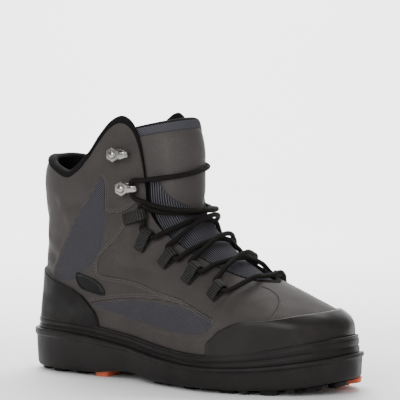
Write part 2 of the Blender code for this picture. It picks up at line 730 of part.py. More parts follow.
def overlay(name, finish, table, middle, columns, rows):
    """A rubber overlay from the band up to its edge, on both sides of its middle."""
    crowd = np.linspace(0.0, 1.0, columns)
    crowd = crowd ** 1.5 if middle == "toe" else 1.0 - (1.0 - crowd) ** 1.5
    span = table[0, 0] + (table[-1, 0] - table[0, 0]) * crowd
    edge = smooth(table, span, 1) * SHAFT_HEIGHT
    if middle == "toe":
        angle = np.concatenate([span, 2.0 - span[-2::-1]]) * math.pi
        edge = np.concatenate([edge, edge[-2::-1]])
    else:
        angle = np.concatenate([-span[:0:-1], span]) * math.pi
        edge = np.concatenate([edge[:0:-1], edge])
    x = body(angle, rim_top(0.0))[:, 0]
    foot = (x - body(0.0, rim_top(0.0))[0]) / (body(math.pi, rim_top(0.0))[0] - body(0.0, rim_top(0.0))[0])
    low = rim_top(HEEL_END + foot * LENGTH) + GAP * 2
    high = np.maximum(edge, low + GAP * 4)
    share = np.linspace(0.0, 1.0, rows)[:, None]
    z = low + (high - low) * share
    angle = np.broadcast_to(angle, z.shape)
    lift = np.full(z.shape, GAP + FACET_SAG)
    solid(name, finish, *patch(over(angle, z, lift + CAP_WALL), over(angle, z, lift)))


def surface_frame(angle, z, along_angle, along_z):
    """A point on the upper with its outward normal, the direction towards a second place, and across."""
    start, end = body(angle, z), body(along_angle, along_z)
    out = facing(angle, z)
    ahead = end - start
    ahead = unit(ahead - out * np.dot(ahead, out))
    return start, out, ahead, np.cross(out, ahead)


def extrude_profile(profile, quads, frame):
    """Points and faces of a profile of quads, each point carried its half width to both sides."""
    origin, out, ahead, across = frame
    flat = np.array([origin + ahead * s + out * h for s, h, _ in profile])
    half = np.array([w for _, _, w in profile])[:, None]
    count = len(flat)
    points = np.concatenate([flat - across * half, flat + across * half])
    faces = [tuple(q) for q in quads] + [tuple(count + i for i in q) for q in quads]
    sides = {}
    for q in quads:
        for a, b in zip(q, q[1:] + q[:1]):
            key = frozenset((a, b))
            sides[key] = None if key in sides else (a, b)
    faces += [(a, b, count + b, count + a) for a, b in (e for e in sides.values() if e)]
    return points, faces


def loop_frame(row, mirror):
    """Frame of a loop's eye on the outer side, or on the inner side where mirror is set."""
    sewn, low, eye, high = row[0] * math.pi, row[1] * SHAFT_HEIGHT, row[2] * math.pi, row[3] * SHAFT_HEIGHT
    if mirror:
        sewn, eye = 2 * math.pi - sewn, 2 * math.pi - eye
    origin, out, back, across = surface_frame(eye, high, sewn, low)
    return (origin, out, back, across), sewn, low, eye, high


def height_beside(frame, ahead_by, across_by, angle):
    """Height of the upper in a frame, at a place near an angle, ahead of its origin and across from it."""
    origin, out, ahead, across = frame
    spot = origin + ahead * ahead_by + across * across_by
    z = np.linspace(spot[2] - 0.006, spot[2] + 0.006, 25)
    angle, z = np.meshgrid(np.linspace(angle - 0.3, angle + 0.3, 81), z)
    away = body(angle, z) - spot
    rise = away @ out
    off = np.linalg.norm(away - rise[..., None] * out, axis=-1) + np.where(np.abs(rise) > 0.012, 1.0, 0.0)
    return float(rise.flat[int(np.argmin(off))])


def make_loop(name, row, mirror):
    """A webbing loop: a strap sewn to the upper whose end turns round an eye for the lace."""
    frame, sewn, low, eye, high = loop_frame(row, mirror)
    origin, out, back, _ = frame
    radius = LOOP_EYE / 2
    middle = STRAP_LIFT + LOOP_THICKNESS + radius
    turns = math.pi / 2 - 0.5 + np.arange(EYE_STEPS) * 2 * math.pi / EYE_STEPS
    hole = [(-math.sin(a) * radius, middle - math.cos(a) * radius) for a in turns]
    ring = [(-math.sin(a) * (radius + LOOP_THICKNESS), middle - math.cos(a) * (radius + LOOP_THICKNESS))
            for a in turns]
    ring_half, half = LOOP_RING_WIDTH / 2, LOOP_WIDTH / 2
    profile = [(s, h, ring_half) for s, h in hole + ring]
    quads = [[k, (k + 1) % EYE_STEPS, EYE_STEPS + (k + 1) % EYE_STEPS, EYE_STEPS + k]
             for k in range(EYE_STEPS)]
    near = min(range(EYE_STEPS), key=lambda k: abs(ring[k][0] - radius * 0.7) + abs(ring[k][1]))
    upper_join = EYE_STEPS + (near - 1) % EYE_STEPS
    lower_join = EYE_STEPS + near
    if ring[near - 1][1] < ring[near][1]:
        upper_join, lower_join = lower_join, upper_join
    previous = (lower_join, upper_join)
    for k in range(1, STRAP_STEPS + 1):
        t = k / STRAP_STEPS
        angle = eye + (sewn - eye) * t
        s = float(np.dot(body(angle, high + (low - high) * t) - origin, back))
        h = max(height_beside(frame, s, side_step, angle) for side_step in (-half, 0.0, half))
        profile += [(s, h + STRAP_LIFT, half), (s, h + STRAP_LIFT + LOOP_THICKNESS, half)]
        now = (len(profile) - 2, len(profile) - 1)
        quads.append([previous[0], now[0], now[1], previous[1]])
        previous = now
    solid(name, "webbing", *extrude_profile(profile, quads, frame))


def hook_frame(row, mirror):
    """Frame of a hook on the upper, pointing to the throat."""
    angle, z = row[0] * math.pi, row[1] * SHAFT_HEIGHT
    ahead = angle + 0.05 * math.pi
    if mirror:
        angle, ahead = 2 * math.pi - angle, 2 * math.pi - ahead
    return surface_frame(angle, z, ahead, z)


def hook_profile():
    """Middle line of the bent sheet as (ahead, out, width): base, fold at the throat side, neck and head."""
    low = GAP * 3 + HOOK_SHEET / 2
    bend = LACE / 2 + HOOK_SHEET / 2 + GAP * 3
    fold = HOOK_REACH - HOOK_HEAD / 2 - bend - HOOK_SHEET / 2
    rows = [(-HOOK_HEAD * 0.30, low, HOOK_HEAD * 0.5), (-HOOK_HEAD * 0.15, low, HOOK_HEAD * 0.75),
            (fold * 0.6, low, HOOK_HEAD * 0.75)]
    rows += [(fold + bend * math.sin(a), low + bend * (1 - math.cos(a)), HOOK_NECK)
             for a in np.linspace(0.0, math.pi, 7)]
    high = low + 2 * bend
    rows += [(HOOK_HEAD / 2, high, HOOK_NECK), (HOOK_HEAD / 4, high, HOOK_HEAD),
             (-HOOK_HEAD / 4, high, HOOK_HEAD), (-HOOK_HEAD / 2, high, HOOK_HEAD / 2)]
    return rows


def make_hook(name, row, mirror):
    """A lace hook: a sheet riveted to the flap and folded back over itself, with a six-sided head."""
    origin, out, ahead, across = hook_frame(row, mirror)
    line = np.array([(s, h) for s, h, _ in hook_profile()])
    widths = np.array([w for _, _, w in hook_profile()])
    along = unit(np.gradient(line, axis=0))
    square = np.stack([-along[:, 1], along[:, 0]], -1) * HOOK_SHEET / 2
    rings = []
    for p, n, w in zip(line, square, widths):
        corners = [(p - n, -w / 2), (p - n, w / 2), (p + n, w / 2), (p + n, -w / 2)]
        rings.append([origin + ahead * q[0] + out * q[1] + across * side_step for q, side_step in corners])
    rings = np.array(rings)
    faces = grid_faces(len(rings), 4, True)
    last = 4 * (len(rings) - 1)
    faces += [(0, 1, 2, 3), (last, last + 1, last + 2, last + 3)]
    solid(name, "nickel", rings.reshape(-1, 3), faces)


def make_pull_loop():
    """The webbing strap down the back of the shaft, standing off it between its sewn ends."""
    levels = np.array([0.615, 0.625, 0.65, 0.69, 0.73, 0.755, 0.765])
    bow = np.sin(np.linspace(0.0, math.pi, len(levels)))
    z = levels * SHAFT_HEIGHT
    spot, out = body(0.0 * z, z), facing(0.0 * z, z)
    inner = spot + out * (GAP * 2 + PULL_BOW * bow)[:, None]
    outer = inner + out * PULL_THICKNESS
    half = np.array([0.0, PULL_WIDTH / 2, 0.0])
    outside = np.stack([outer - half, outer + half], 1)
    inside = np.stack([inner - half, inner + half], 1)
    solid("pull_loop", "webbing", *patch(outside, inside))


def lace_height(angle, z, extra):
    """A point of the lace's middle line over the tongue."""
    level = z / SHAFT_HEIGHT
    beyond = throat_half(level) - np.abs(angle / math.pi - 1.0)
    lift = tongue_lift(angle, z) + extra
    over_tongue = between(beyond, 0.0, 0.07)
    lift = np.maximum(lift, BINDING_STEP * (1.0 - over_tongue) + lift * over_tongue)
    return over(angle, z, lift + LACE / 2 + LACE_CLEARANCE)


def through_eye(row, mirror):
    """Points of the lace through a loop's eye, up the throat, bowed a little towards it."""
    (origin, out, back, across), *_ = loop_frame(row, mirror)
    rise = across if across[2] > 0 else -across
    middle = origin + out * (STRAP_LIFT + LOOP_THICKNESS + LOOP_EYE / 2)
    ends = middle - back * EYE_BOW
    return [ends - rise * EYE_REACH, middle, ends + rise * EYE_REACH]


def through_hook(row, mirror):
    """Ends of the straight piece of lace in a hook's fold, from the lower up."""
    origin, out, ahead, across = hook_frame(row, mirror)
    bend = LACE / 2 + GAP * 3
    fold = HOOK_REACH - HOOK_HEAD / 2 - bend - HOOK_SHEET * 1.5
    rise = across if across[2] > 0 else -across
    middle = origin + ahead * fold + out * (GAP * 3 + HOOK_SHEET + bend)
    return [middle - rise * HOOK_ENTRY, middle + rise * HOOK_ENTRY]


def tongue_places():
    """Where the lace's middle line rests over the throat, and the outward direction at each place."""
    angle, level = np.meshgrid(np.linspace(0.60, 1.40, 110) * math.pi, np.linspace(0.38, 0.99, 110))
    angle, z = angle.ravel(), level.ravel() * SHAFT_HEIGHT
    return lace_height(angle, z, 0.0), facing(angle, z)


def crossing(start, end, lift, places, hang=0.0):
    """A strand pulled tight from start to end round the tongue, standing off it by lift at its middle, or
    hanging down there by hang."""
    resting, out = places
    weight = np.array([0.0, 0.0, 4 * hang / STRAND_STEPS ** 2])
    share = np.linspace(0.0, 1.0, STRAND_STEPS + 1)[1:-1]
    bump = 4 * share * (1 - share)
    points = start + (end - start) * share[:, None] + np.array([0.02, 0.0, 0.0]) * bump[:, None]
    for _ in range(TIGHTENINGS):
        run = np.concatenate([[start], points, [end]])
        points = (run[:-2] + run[2:]) / 2 - weight
        nearest = [int(np.argmin(((resting - p) ** 2).sum(1))) for p in points]
        depth = ((points - resting[nearest]) * out[nearest]).sum(1) - lift * bump
        points = points - out[nearest] * np.minimum(depth, 0.0)[:, None]
    return list(points)


def climb(mirror, lift, other_lift, places):
    """Half of the lace, from a side's lowest loop up: it crosses at each level, save between the top two."""
    points = through_eye(LOOPS[0], mirror)
    for row in LOOPS[1:-1]:
        mirror = not mirror
        entry = through_eye(row, mirror)
        points += crossing(points[-1], entry[0], lift, places) + entry
        lift, other_lift = other_lift, lift
    return points + through_eye(LOOPS[-1], mirror)


def lace_route():
    """The lace's middle line, from the inner lower hook down to the toe and up to the inner top hook."""
    places = tongue_places()
    left = climb(False, CROSS_OVER, CROSS_UNDER, places)
    right = climb(True, CROSS_UNDER, CROSS_OVER, places)
    bar = crossing(left[0], right[0], CROSS_OVER, places)
    for half, lift, hang, hook, mirror in ((right, CROSS_UNDER, HANG_UNDER, 0, True),
                                           (left, TOP_CROSS_OVER, HANG_OVER, 0, False),
                                           (left, CROSS_UNDER, 0.0, 1, True)):
        entry = through_hook(HOOKS[hook], mirror)
        half += crossing(half[-1], entry[0], lift, places, hang) + entry
    return np.array(right[::-1] + bar[::-1] + left)


def make_lace(sides=6):
    """The lace as one tube along its route."""
    path = lace_route()
    ahead = unit(np.gradient(path, axis=0))
    rings = []
    side_way = unit(np.cross(ahead[0], np.array([0.0, 0.0, 1.0])))
    turn = np.arange(sides) * 2 * math.pi / sides
    for p, d in zip(path, ahead):
        side_way = unit(side_way - d * np.dot(side_way, d))
        other = np.cross(d, side_way)
        rings.append(p + (np.cos(turn)[:, None] * side_way + np.sin(turn)[:, None] * other) * LACE / 2)
    rings = np.array(rings)
    faces = grid_faces(len(rings), sides, True)
    last = sides * (len(rings) - 1)
    faces += [tuple(range(sides)), tuple(last + k for k in range(sides))]
    solid("lace", "webbing", rings.reshape(-1, 3), faces)


def build():
    """Clears the scene and makes every piece of the boot."""
    for old in list(bpy.data.objects):
        bpy.data.objects.remove(old)
    make_outsole()
    make_inserts()
    make_band()
    make_insole()
    make_upper()
    make_tongue()
    overlay("toe_cap", "black_rubber", TOE_CAP_EDGE, "toe", 14, 5)
    overlay("heel_counter", "black_rubber", COUNTER_EDGE, "heel", 14, 5)
    for name, mirror in (("outer", False), ("inner", True)):
        for number, row in enumerate(LOOPS, 1):
            make_loop(f"lace_loop_{name}_{number}", row, mirror)
        for number, row in enumerate(HOOKS, 1):
            make_hook(f"lace_hook_{name}_{number}", row, mirror)
    make_pull_loop()
    make_lace()


build()
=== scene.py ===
# %% [markdown]
# # A wading boot for the right foot
#
# A wading boot is worn over the stocking foot of a pair of waders and stands in rivers, so it is made of
# synthetic leather, woven panels that drain, and rubber. This lesson dresses its CAD solids with finished
# surfaces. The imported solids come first: they are a fixed frame that gives every piece its place.

import math

import bpy
import numpy as np
from mathutils import Matrix, Vector


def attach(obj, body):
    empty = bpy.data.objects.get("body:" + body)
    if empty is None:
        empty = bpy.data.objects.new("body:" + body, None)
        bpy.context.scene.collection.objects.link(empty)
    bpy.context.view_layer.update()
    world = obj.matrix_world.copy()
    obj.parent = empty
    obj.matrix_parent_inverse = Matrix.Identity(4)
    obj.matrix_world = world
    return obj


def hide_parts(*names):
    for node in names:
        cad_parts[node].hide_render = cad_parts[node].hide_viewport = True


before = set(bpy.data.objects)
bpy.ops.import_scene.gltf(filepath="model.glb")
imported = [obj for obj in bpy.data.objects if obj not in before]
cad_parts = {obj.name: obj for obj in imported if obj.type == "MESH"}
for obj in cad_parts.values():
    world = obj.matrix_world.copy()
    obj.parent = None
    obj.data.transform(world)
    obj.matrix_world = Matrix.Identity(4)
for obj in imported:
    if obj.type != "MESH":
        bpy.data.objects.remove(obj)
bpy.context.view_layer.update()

# %% [markdown]
# ## The sizes of the last
#
# A shoemaker starts from a last, the solid form of a foot. Everything here hangs on the same few sizes as
# the solids do: lengths in metres, tables in shares of them. +X runs to the toe, -Y to the outer side.

# %% Sizes
# The whole boot: length and heel's end, widths, and heights of shaft, sole and band.
LENGTH, HEEL_END = 0.322, -0.048
BALL_WIDTH, HEEL_WIDTH = 0.124, 0.089
SHAFT_HEIGHT, SOLE_HEIGHT, BAND_HEIGHT = 0.2215, 0.0368, 0.0095
ARCH_RISE, TOE_SPRING, LUG_DEPTH = 0.005, 0.0085, 0.004
# Walls, the collar's padding and binding, the sole's lip, and how far the upper stands in from its edge.
WALL, COLLAR_PAD, BINDING_WIDTH = 0.0025, 0.0075, 0.0045
CAP_WALL, SOLE_LIP = 0.0016, 0.0036
UPPER_INSET, TOE_INSET, BAND_GROOVE, GAP = 0.0072, 0.0040, 0.0011, 0.0003
# Tongue, lace, loops, hooks and pull strap.
TONGUE_THICKNESS, TONGUE_SWELL, TONGUE_LEAN, TONGUE_CORNER = 0.0055, 0.0042, 0.0065, 0.10
LACE, LOOP_WIDTH, LOOP_THICKNESS, LOOP_EYE = 0.0042, 0.0095, 0.0015, 0.0062
HOOK_HEAD, HOOK_NECK, HOOK_SHEET, HOOK_REACH = 0.011, 0.0052, 0.0011, 0.0188
PULL_WIDTH, PULL_THICKNESS, PULL_BOW, STRAP_LIFT = 0.013, 0.0018, 0.0025, 0.0009
# Shares of the length or height at which the ball, the waist, the toe's swing and the foot's line lie.
HEEL_TO_BALL, HEEL_TO_BALL_ENDS = 0.718, (0.30, 0.555)
WAIST_AT, WAIST_SPREAD, WAIST_INNER, WAIST_OUTER, WAIST_TOP, WAIST_FADE = 0.40, 0.135, 0.20, 0.13, 0.52, 0.26
TOE_SWING, SWING_FROM, SWING_RUN, SWING_POWER, SWING_TOP, SWING_FADE = 0.042, 0.52, 0.43, 1.5, 0.45, 0.22
FOOT_LINE_ENDS, FOOT_ROW = (0.19, 0.31), 1
MM = 0.001
print("length, ball width, height, mm:", [round(v / MM, 1) for v in (LENGTH, BALL_WIDTH, SHAFT_HEIGHT)])

# %% [markdown]
# The last is a stack of level sections. Each row gives a section's height, where its back, widest station
# and front lie, its two half widths, and how square its ends are. The sole has an outline and a side view.

# %% Tables of the last and the sole
SECTIONS = np.array([
    # height  back    widest  front   outer   inner   back  front
    [0.0900, -0.115, 0.5220, 0.7980, 0.4190, 0.3950, 2.40, 2.35],
    [0.1535, -0.121, 0.5220, 0.8105, 0.4435, 0.4190, 2.40, 2.35],
    [0.2167, -0.126, 0.5090, 0.8137, 0.4476, 0.4230, 2.40, 2.35],
    [0.2619, -0.126, 0.4910, 0.8028, 0.4395, 0.4150, 2.40, 2.25],
    [0.3025, -0.125, 0.4530, 0.7670, 0.4190, 0.3950, 2.40, 2.10],
    [0.3430, -0.123, 0.3975, 0.7050, 0.3950, 0.3750, 2.40, 2.00],
    [0.3970, -0.120, 0.3290, 0.6150, 0.3710, 0.3550, 2.40, 1.95],
    [0.4605, -0.116, 0.2610, 0.5250, 0.3510, 0.3390, 2.35, 1.95],
    [0.5237, -0.113, 0.2050, 0.4470, 0.3350, 0.3270, 2.30, 2.00],
    [0.5870, -0.112, 0.1550, 0.3880, 0.3270, 0.3185, 2.25, 2.10],
    [0.6590, -0.115, 0.1180, 0.3570, 0.3310, 0.3226, 2.20, 2.20],
    [0.7450, -0.118, 0.1055, 0.3510, 0.3390, 0.3310, 2.20, 2.30],
    [0.7900, -0.112, 0.1030, 0.3510, 0.3420, 0.3340, 2.20, 2.30],
    [0.8350, -0.098, 0.1010, 0.3510, 0.3455, 0.3375, 2.20, 2.30],
    [0.9000, -0.098, 0.0995, 0.3520, 0.3490, 0.3410, 2.20, 2.30],
    [1.0160, -0.098, 0.0995, 0.3540, 0.3550, 0.3470, 2.20, 2.30],
])
OUTLINE = np.array([
    # station inner   outer
    [0.000,  0.000,  0.000], [0.025,  0.285,  0.285], [0.087,  0.446,  0.448], [0.149,  0.494,  0.494],
    [0.242,  0.494,  0.507], [0.335,  0.482,  0.520], [0.410,  0.426,  0.484], [0.506,  0.372,  0.471],
    [0.556,  0.375,  0.484], [0.596,  0.417,  0.502], [0.634,  0.451,  0.5145], [0.693,  0.481,  0.5105],
    [0.736,  0.493,  0.485], [0.798,  0.476,  0.4355], [0.854,  0.443,  0.383], [0.907,  0.383,  0.327],
    [0.941,  0.333,  0.274], [0.969,  0.248,  0.202], [0.991,  0.135,  0.110], [1.000,  0.010,  -0.010],
])
SOLE_SIDE = np.array([
    # station  top   band  arch  spring
    [0.000,  0.975, 1.26, 0.00, 0.16], [0.055,  0.995, 1.10, 0.00, 0.00], [0.149,  1.000, 1.00, 0.00, 0.00],
    [0.273,  0.930, 1.00, 0.02, 0.00], [0.335,  0.867, 1.00, 0.60, 0.00], [0.391,  0.805, 1.00, 1.00, 0.00],
    [0.460,  0.710, 1.00, 0.10, 0.00], [0.491,  0.675, 1.00, 0.00, 0.00], [0.646,  0.579, 1.00, 0.00, 0.00],
    [0.801,  0.633, 1.26, 0.00, 0.02], [0.925,  0.783, 1.50, 0.00, 0.48], [1.000,  0.905, 1.45, 0.00, 1.00],
])
TOP_EDGE = np.array([
    # foot  edge   height
    [0.00, 0.000, 0.835], [0.08, 0.100, 0.835], [0.16, 0.210, 0.824], [0.24, 0.310, 0.799],
    [0.31, 0.400, 0.779], [0.36, 0.455, 0.804], [0.40, 0.500, 0.846], [0.44, 0.545, 0.919],
    [0.48, 0.590, 0.978], [0.52, 0.635, 1.000], [0.55, 0.675, 0.978], [0.58, 0.703, 0.923],
    [0.61, 0.722, 0.840], [0.64, 0.730, 0.758], [0.67, 0.733, 0.677], [0.70, 0.735, 0.614],
    [0.74, 0.745, 0.560], [0.79, 0.765, 0.510], [0.84, 0.790, 0.4695], [0.89, 0.825, 0.4310],
    [0.94, 0.880, 0.4085], [1.00, 1.000, 0.3985],
])
print("sections:", len(SECTIONS), "outline stations:", len(OUTLINE), "edge places:", len(TOP_EDGE))

# %% [markdown]
# ## The surface of the last
#
# A last could be sculpted, but then a new size would mean sculpting it again. Here small helpers read the
# tables: a smooth step, a bell, a quarter circle and a smooth curve through a table's rows. With them a point
# of the upper's outside is a function of an angle, 0 at the back and pi at the toe, and a height.

# %% Reading tables
def between(value, low, high):
    """0 below low, 1 above high, and t*t*(3-2t) between them."""
    t = np.clip((np.asarray(value, float) - low) / (high - low), 0.0, 1.0)
    return t * t * (3.0 - 2.0 * t)


def bell(distance, width):
    """1 at distance 0, falling off as exp(-(d/width)^2)."""
    return np.exp(-(distance / width) ** 2)


def quarter_round(distance, width):
    """A quarter circle, sqrt(1 - (1 - d/width)^2), from 0 at an edge to 1 at the width and past it."""
    return np.sqrt(np.clip(1.0 - (1.0 - np.minimum(distance / width, 1.0)) ** 2, 0.0, 1.0))


def full_turn(count):
    """Angles at even steps round a circle, without the last, which is the first again."""
    return np.linspace(0.0, 2 * math.pi, count, endpoint=False)


def smooth(table, at, column):
    """A cubic through a table's rows whose slope at each row is that of its neighbours."""
    knots, values = table[:, 0], table[:, column]
    slopes = np.gradient(values, knots)
    at = np.clip(np.asarray(at, float), knots[0], knots[-1])
    i = np.clip(np.searchsorted(knots, at) - 1, 0, len(knots) - 2)
    span = knots[i + 1] - knots[i]
    t = (at - knots[i]) / span
    start = (1 + 2 * t) * (1 - t) ** 2 * values[i] + t * (1 - t) ** 2 * span * slopes[i]
    return start + t * t * (3 - 2 * t) * values[i + 1] - t * t * (1 - t) * span * slopes[i + 1]


def unit(v):
    """Vectors divided by their lengths."""
    return v / np.maximum(np.linalg.norm(v, axis=-1, keepdims=True), 1e-12)


print("half way up a step:", float(between(0.5, 0, 1)))

# %% Outline of the sole
def width_at(share):
    """The sole's width, from the heel's to the ball's, at a share of its length."""
    return HEEL_WIDTH + (BALL_WIDTH - HEEL_WIDTH) * between(share, *HEEL_TO_BALL_ENDS)


def outline(turn):
    """Plan of the sole: the station is a cosine of the turn, the half width comes from the table."""
    share = (1.0 - np.cos(turn)) / 2.0
    eased = OUTLINE.copy()
    eased[:, 0] = np.arccos(1.0 - 2.0 * OUTLINE[:, 0])
    at = np.arccos(np.cos(turn))
    half = np.where(np.sin(turn) > 0, -smooth(eased, at, 2), smooth(eased, at, 1))
    return np.stack([HEEL_END + share * LENGTH, half * width_at(share)], -1)


def outline_inward(turn):
    """Unit vectors in plan, a quarter turn from the outline's own direction, into the sole."""
    d = outline(turn + 4e-3) - outline(turn - 4e-3)
    return unit(np.stack([-d[..., 1], d[..., 0]], -1))


print("ball width, mm:", round(float(width_at(0.7)) * 1000, 1))

# %% Side of the sole
def side(x, column):
    """A column of SOLE_SIDE at a place along the boot."""
    return smooth(SOLE_SIDE, (np.asarray(x, float) - HEEL_END) / LENGTH, column)


def sole_top(x):
    """Height of the outsole's lip."""
    return side(x, 1) * SOLE_HEIGHT


def rim_top(x):
    """Height of the band's rim, where the upper comes out of it."""
    return sole_top(x) + side(x, 2) * BAND_HEIGHT


def ground(x):
    """Height of the full lugs' feet: the floor, then the toe spring."""
    return np.maximum(side(x, 4), 0.0) * TOE_SPRING


def tread(x):
    """Height of the sole's bottom between its lugs."""
    return LUG_DEPTH + np.maximum(side(x, 3), 0.0) * ARCH_RISE + ground(x)


print("top of the sole at the heel, mm:", round(float(sole_top(0.0)) * 1000, 1))

# %% [markdown]
# The upper's outside follows. Level rings would do for the shaft, but near the floor the upper has to meet
# the sole's own outline, so the rings are led over to it from a height down.

# %% The upper's foot line
def foot_turn(angle):
    """The turn of the sole's outline beside an angle of the upper, from the station of the lowest section."""
    _, back, widest, front, _, _, square_back, square_front = SECTIONS[FOOT_ROW]
    c = -np.cos(angle)
    power = 2.0 / np.where(c > 0, square_front, square_back)
    reach = np.where(c > 0, front - widest, widest - back)
    share = (widest + reach * np.sign(c) * np.abs(c) ** power - back) / (front - back)
    turn = np.arccos(np.clip(1.0 - 2.0 * share, -1.0, 1.0))
    return np.where(np.sin(angle) >= 0, turn, 2.0 * math.pi - turn)


def foot_line(angle):
    """Plan of the upper where it meets the sole: the outline, set in, a little more at the toe."""
    turn = foot_turn(angle)
    inset = UPPER_INSET + TOE_INSET * between(np.abs(1.0 - turn / math.pi), 0.25, 0.0)
    return outline(turn) + outline_inward(turn) * inset[..., None]


print("foot line at the toe, mm:", (foot_line(math.pi) * 1000).round(1).tolist())

# %% The upper's outside
STEP_ROUND, STEP_UP = 2e-3, 2e-4


def body(angle, z):
    """Superellipses in plan, |x/a|^n + |y/b|^n = 1 with n for each end, swung in at the toe, taken in at
    the waist, and led over to the sole's outline near the floor."""
    angle, z = np.broadcast_arrays(np.asarray(angle, float), np.asarray(z, float))
    level = z / SHAFT_HEIGHT
    back, widest, front, outer, inner, square_back, square_front = (
        smooth(SECTIONS, level, k) for k in range(1, 8))
    c, s = -np.cos(angle), np.sin(angle)
    power = 2.0 / np.where(c > 0, square_front, square_back)
    reach = np.where(c > 0, front - widest, widest - back) * LENGTH
    x = widest * LENGTH + reach * np.sign(c) * np.abs(c) ** power
    y = -np.where(s > 0, outer, inner) * BALL_WIDTH * np.sign(s) * np.abs(s) ** power
    share = (x - HEEL_END) / LENGTH
    low = np.clip((SWING_TOP - level) / SWING_FADE, 0.0, 1.0)
    y = y + low * TOE_SWING * BALL_WIDTH * np.clip((share - SWING_FROM) / SWING_RUN, 0.0, 1.0) ** SWING_POWER
    waist = bell(share - WAIST_AT, WAIST_SPREAD) * between(WAIST_TOP - level, 0.0, WAIST_FADE)
    y = y * (1.0 - waist * np.where(y > 0, WAIST_INNER, WAIST_OUTER))
    nominal = HEEL_TO_BALL + (1.0 - HEEL_TO_BALL) * between(share, *HEEL_TO_BALL_ENDS)
    y = y * width_at(share) / (BALL_WIDTH * nominal)
    foot = foot_line(angle)
    hold = 1.0 - between(level, *FOOT_LINE_ENDS)
    return np.stack([x + (foot[..., 0] - x) * hold, y + (foot[..., 1] - y) * hold, z], -1)


def facing(angle, z):
    """Outward normals: the cross product of a small step round and a small step up."""
    around = body(angle + STEP_ROUND, z) - body(angle - STEP_ROUND, z)
    up = body(angle, z + STEP_UP) - body(angle, z - STEP_UP)
    return unit(np.cross(around, up))


def over(angle, z, lift):
    """Points a lift outside the upper along its normals, or inside it where the lift is negative."""
    return body(angle, z) + facing(angle, z) * np.asarray(lift, float)[..., None]


print("toe of the upper, mm:", [round(v * 1000, 1) for v in body(math.pi, 0.05).tolist()])

# %% [markdown]
# ## From grids of points to meshes
#
# Nearly every piece is a grid: rows of points joined by quads, sometimes closed into a ring. Modelling tools
# could push such surfaces about by hand, but arrays keep each shape a formula that can be read. The helpers
# here write them into a mesh, turn its faces outwards against a hint, and add the attributes and the UV map
# that the materials read.

# %% Faces of a grid
def lattice(rows, columns, ring=False):
    """Quads between neighbours of a grid; ring joins its last column to its first."""
    r, c = np.meshgrid(np.arange(rows - 1), np.arange(columns if ring else columns - 1), indexing="ij")
    below, right = (r + 1) * columns, (c + 1) % columns
    return np.stack([r * columns + c, r * columns + right, below + right, below + c], -1).reshape(-1, 4)


def tube(rows, columns, first=True, last=True):
    """Quads of a ring lattice, its end rings filled by strips of quads from one side to the other."""
    k = np.arange(columns // 2 - 1)
    strip = np.stack([k, k + 1, columns - 2 - k, columns - 1 - k], -1)
    lids = [strip[:, ::-1]] * first + [strip + (rows - 1) * columns] * last
    return np.concatenate([lattice(rows, columns, ring=True)] + lids)


def outward(points, faces, hint):
    """The quads as they are, or all turned over where their normals, each the cross product of a quad's
    diagonals, point against the hint's directions on the whole."""
    corner = points[faces]
    normal = np.cross(corner[:, 2] - corner[:, 0], corner[:, 3] - corner[:, 1])
    return faces[:, ::-1] if (normal * hint[faces[:, 0]]).sum() < 0 else faces


print("quads in a closed ring of 3 by 8:", len(lattice(3, 8, ring=True)))

# %% From arrays to an object
def quad_mesh(name, points, faces, uv=None, layers=None):
    """A smooth mesh from arrays: points, four corners for each face, and for each point a UV place and a
    value of every layer."""
    mesh = bpy.data.meshes.new(name)
    mesh.vertices.add(len(points))
    mesh.vertices.foreach_set("co", points.ravel().astype(np.float32))
    mesh.loops.add(faces.size)
    mesh.loops.foreach_set("vertex_index", faces.ravel().astype(np.int32))
    mesh.polygons.add(len(faces))
    mesh.polygons.foreach_set("loop_start", np.arange(0, faces.size, 4, dtype=np.int32))
    mesh.update(calc_edges=True)
    mesh.validate()
    if uv is not None:
        corners = np.empty(len(mesh.loops), np.int32)
        mesh.loops.foreach_get("vertex_index", corners)
        places = np.asarray(uv, float).reshape(-1, 2)[corners]
        mesh.uv_layers.new(name="UVMap").data.foreach_set("uv", places.ravel().astype(np.float32))
    for key, values in (layers or {}).items():
        layer = mesh.attributes.new(key, "FLOAT", "POINT")
        layer.data.foreach_set("value", np.asarray(values, float).ravel().astype(np.float32))
    mesh.shade_smooth()
    return mesh


def piece(name, points, faces, finish, slot, nodes=(), hint=None, uv=None, layers=None, sharp=None):
    """A finished object at the origin. hint holds a rough outward direction for each point, nodes the
    solids that it replaces, and sharp the degrees past which an edge stays hard."""
    points = np.asarray(points, float).reshape(-1, 3)
    if hint is not None:
        faces = outward(points, faces, np.asarray(hint).reshape(-1, 3))
    mesh = quad_mesh(name, points, faces, uv, layers)
    if sharp is not None:
        mesh.set_sharp_from_angle(angle=math.radians(sharp))
    mesh.materials.append(finish)
    made = bpy.data.objects.new(name, mesh)
    bpy.context.scene.collection.objects.link(made)
    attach(made, "root")
    if nodes:
        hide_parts(*nodes)
    print(f"{name}: {len(points)} points, {len(faces)} faces")
    return made


print("pieces are made by", piece.__name__)

# %% Distances and joins
def run_length(points, axis):
    """Distance run along a grid's axis from its first row or column, the same shape as the grid."""
    step = np.linalg.norm(np.diff(points, axis=axis), axis=-1)
    start = np.zeros_like(np.take(step, [0], axis=axis))
    return np.concatenate([start, np.cumsum(step, axis=axis)], axis=axis)


def joined(parts):
    """Several (points, faces) pairs as one, each part's faces moved past the points before them."""
    sizes = np.cumsum([0] + [len(p) for p, _ in parts])
    return (np.concatenate([p for p, _ in parts]),
            np.concatenate([f + start for (_, f), start in zip(parts, sizes)]))


print("distance run along 3 places:", run_length(np.array([[0.0], [1.0], [3.0]]), 0).ravel().tolist())

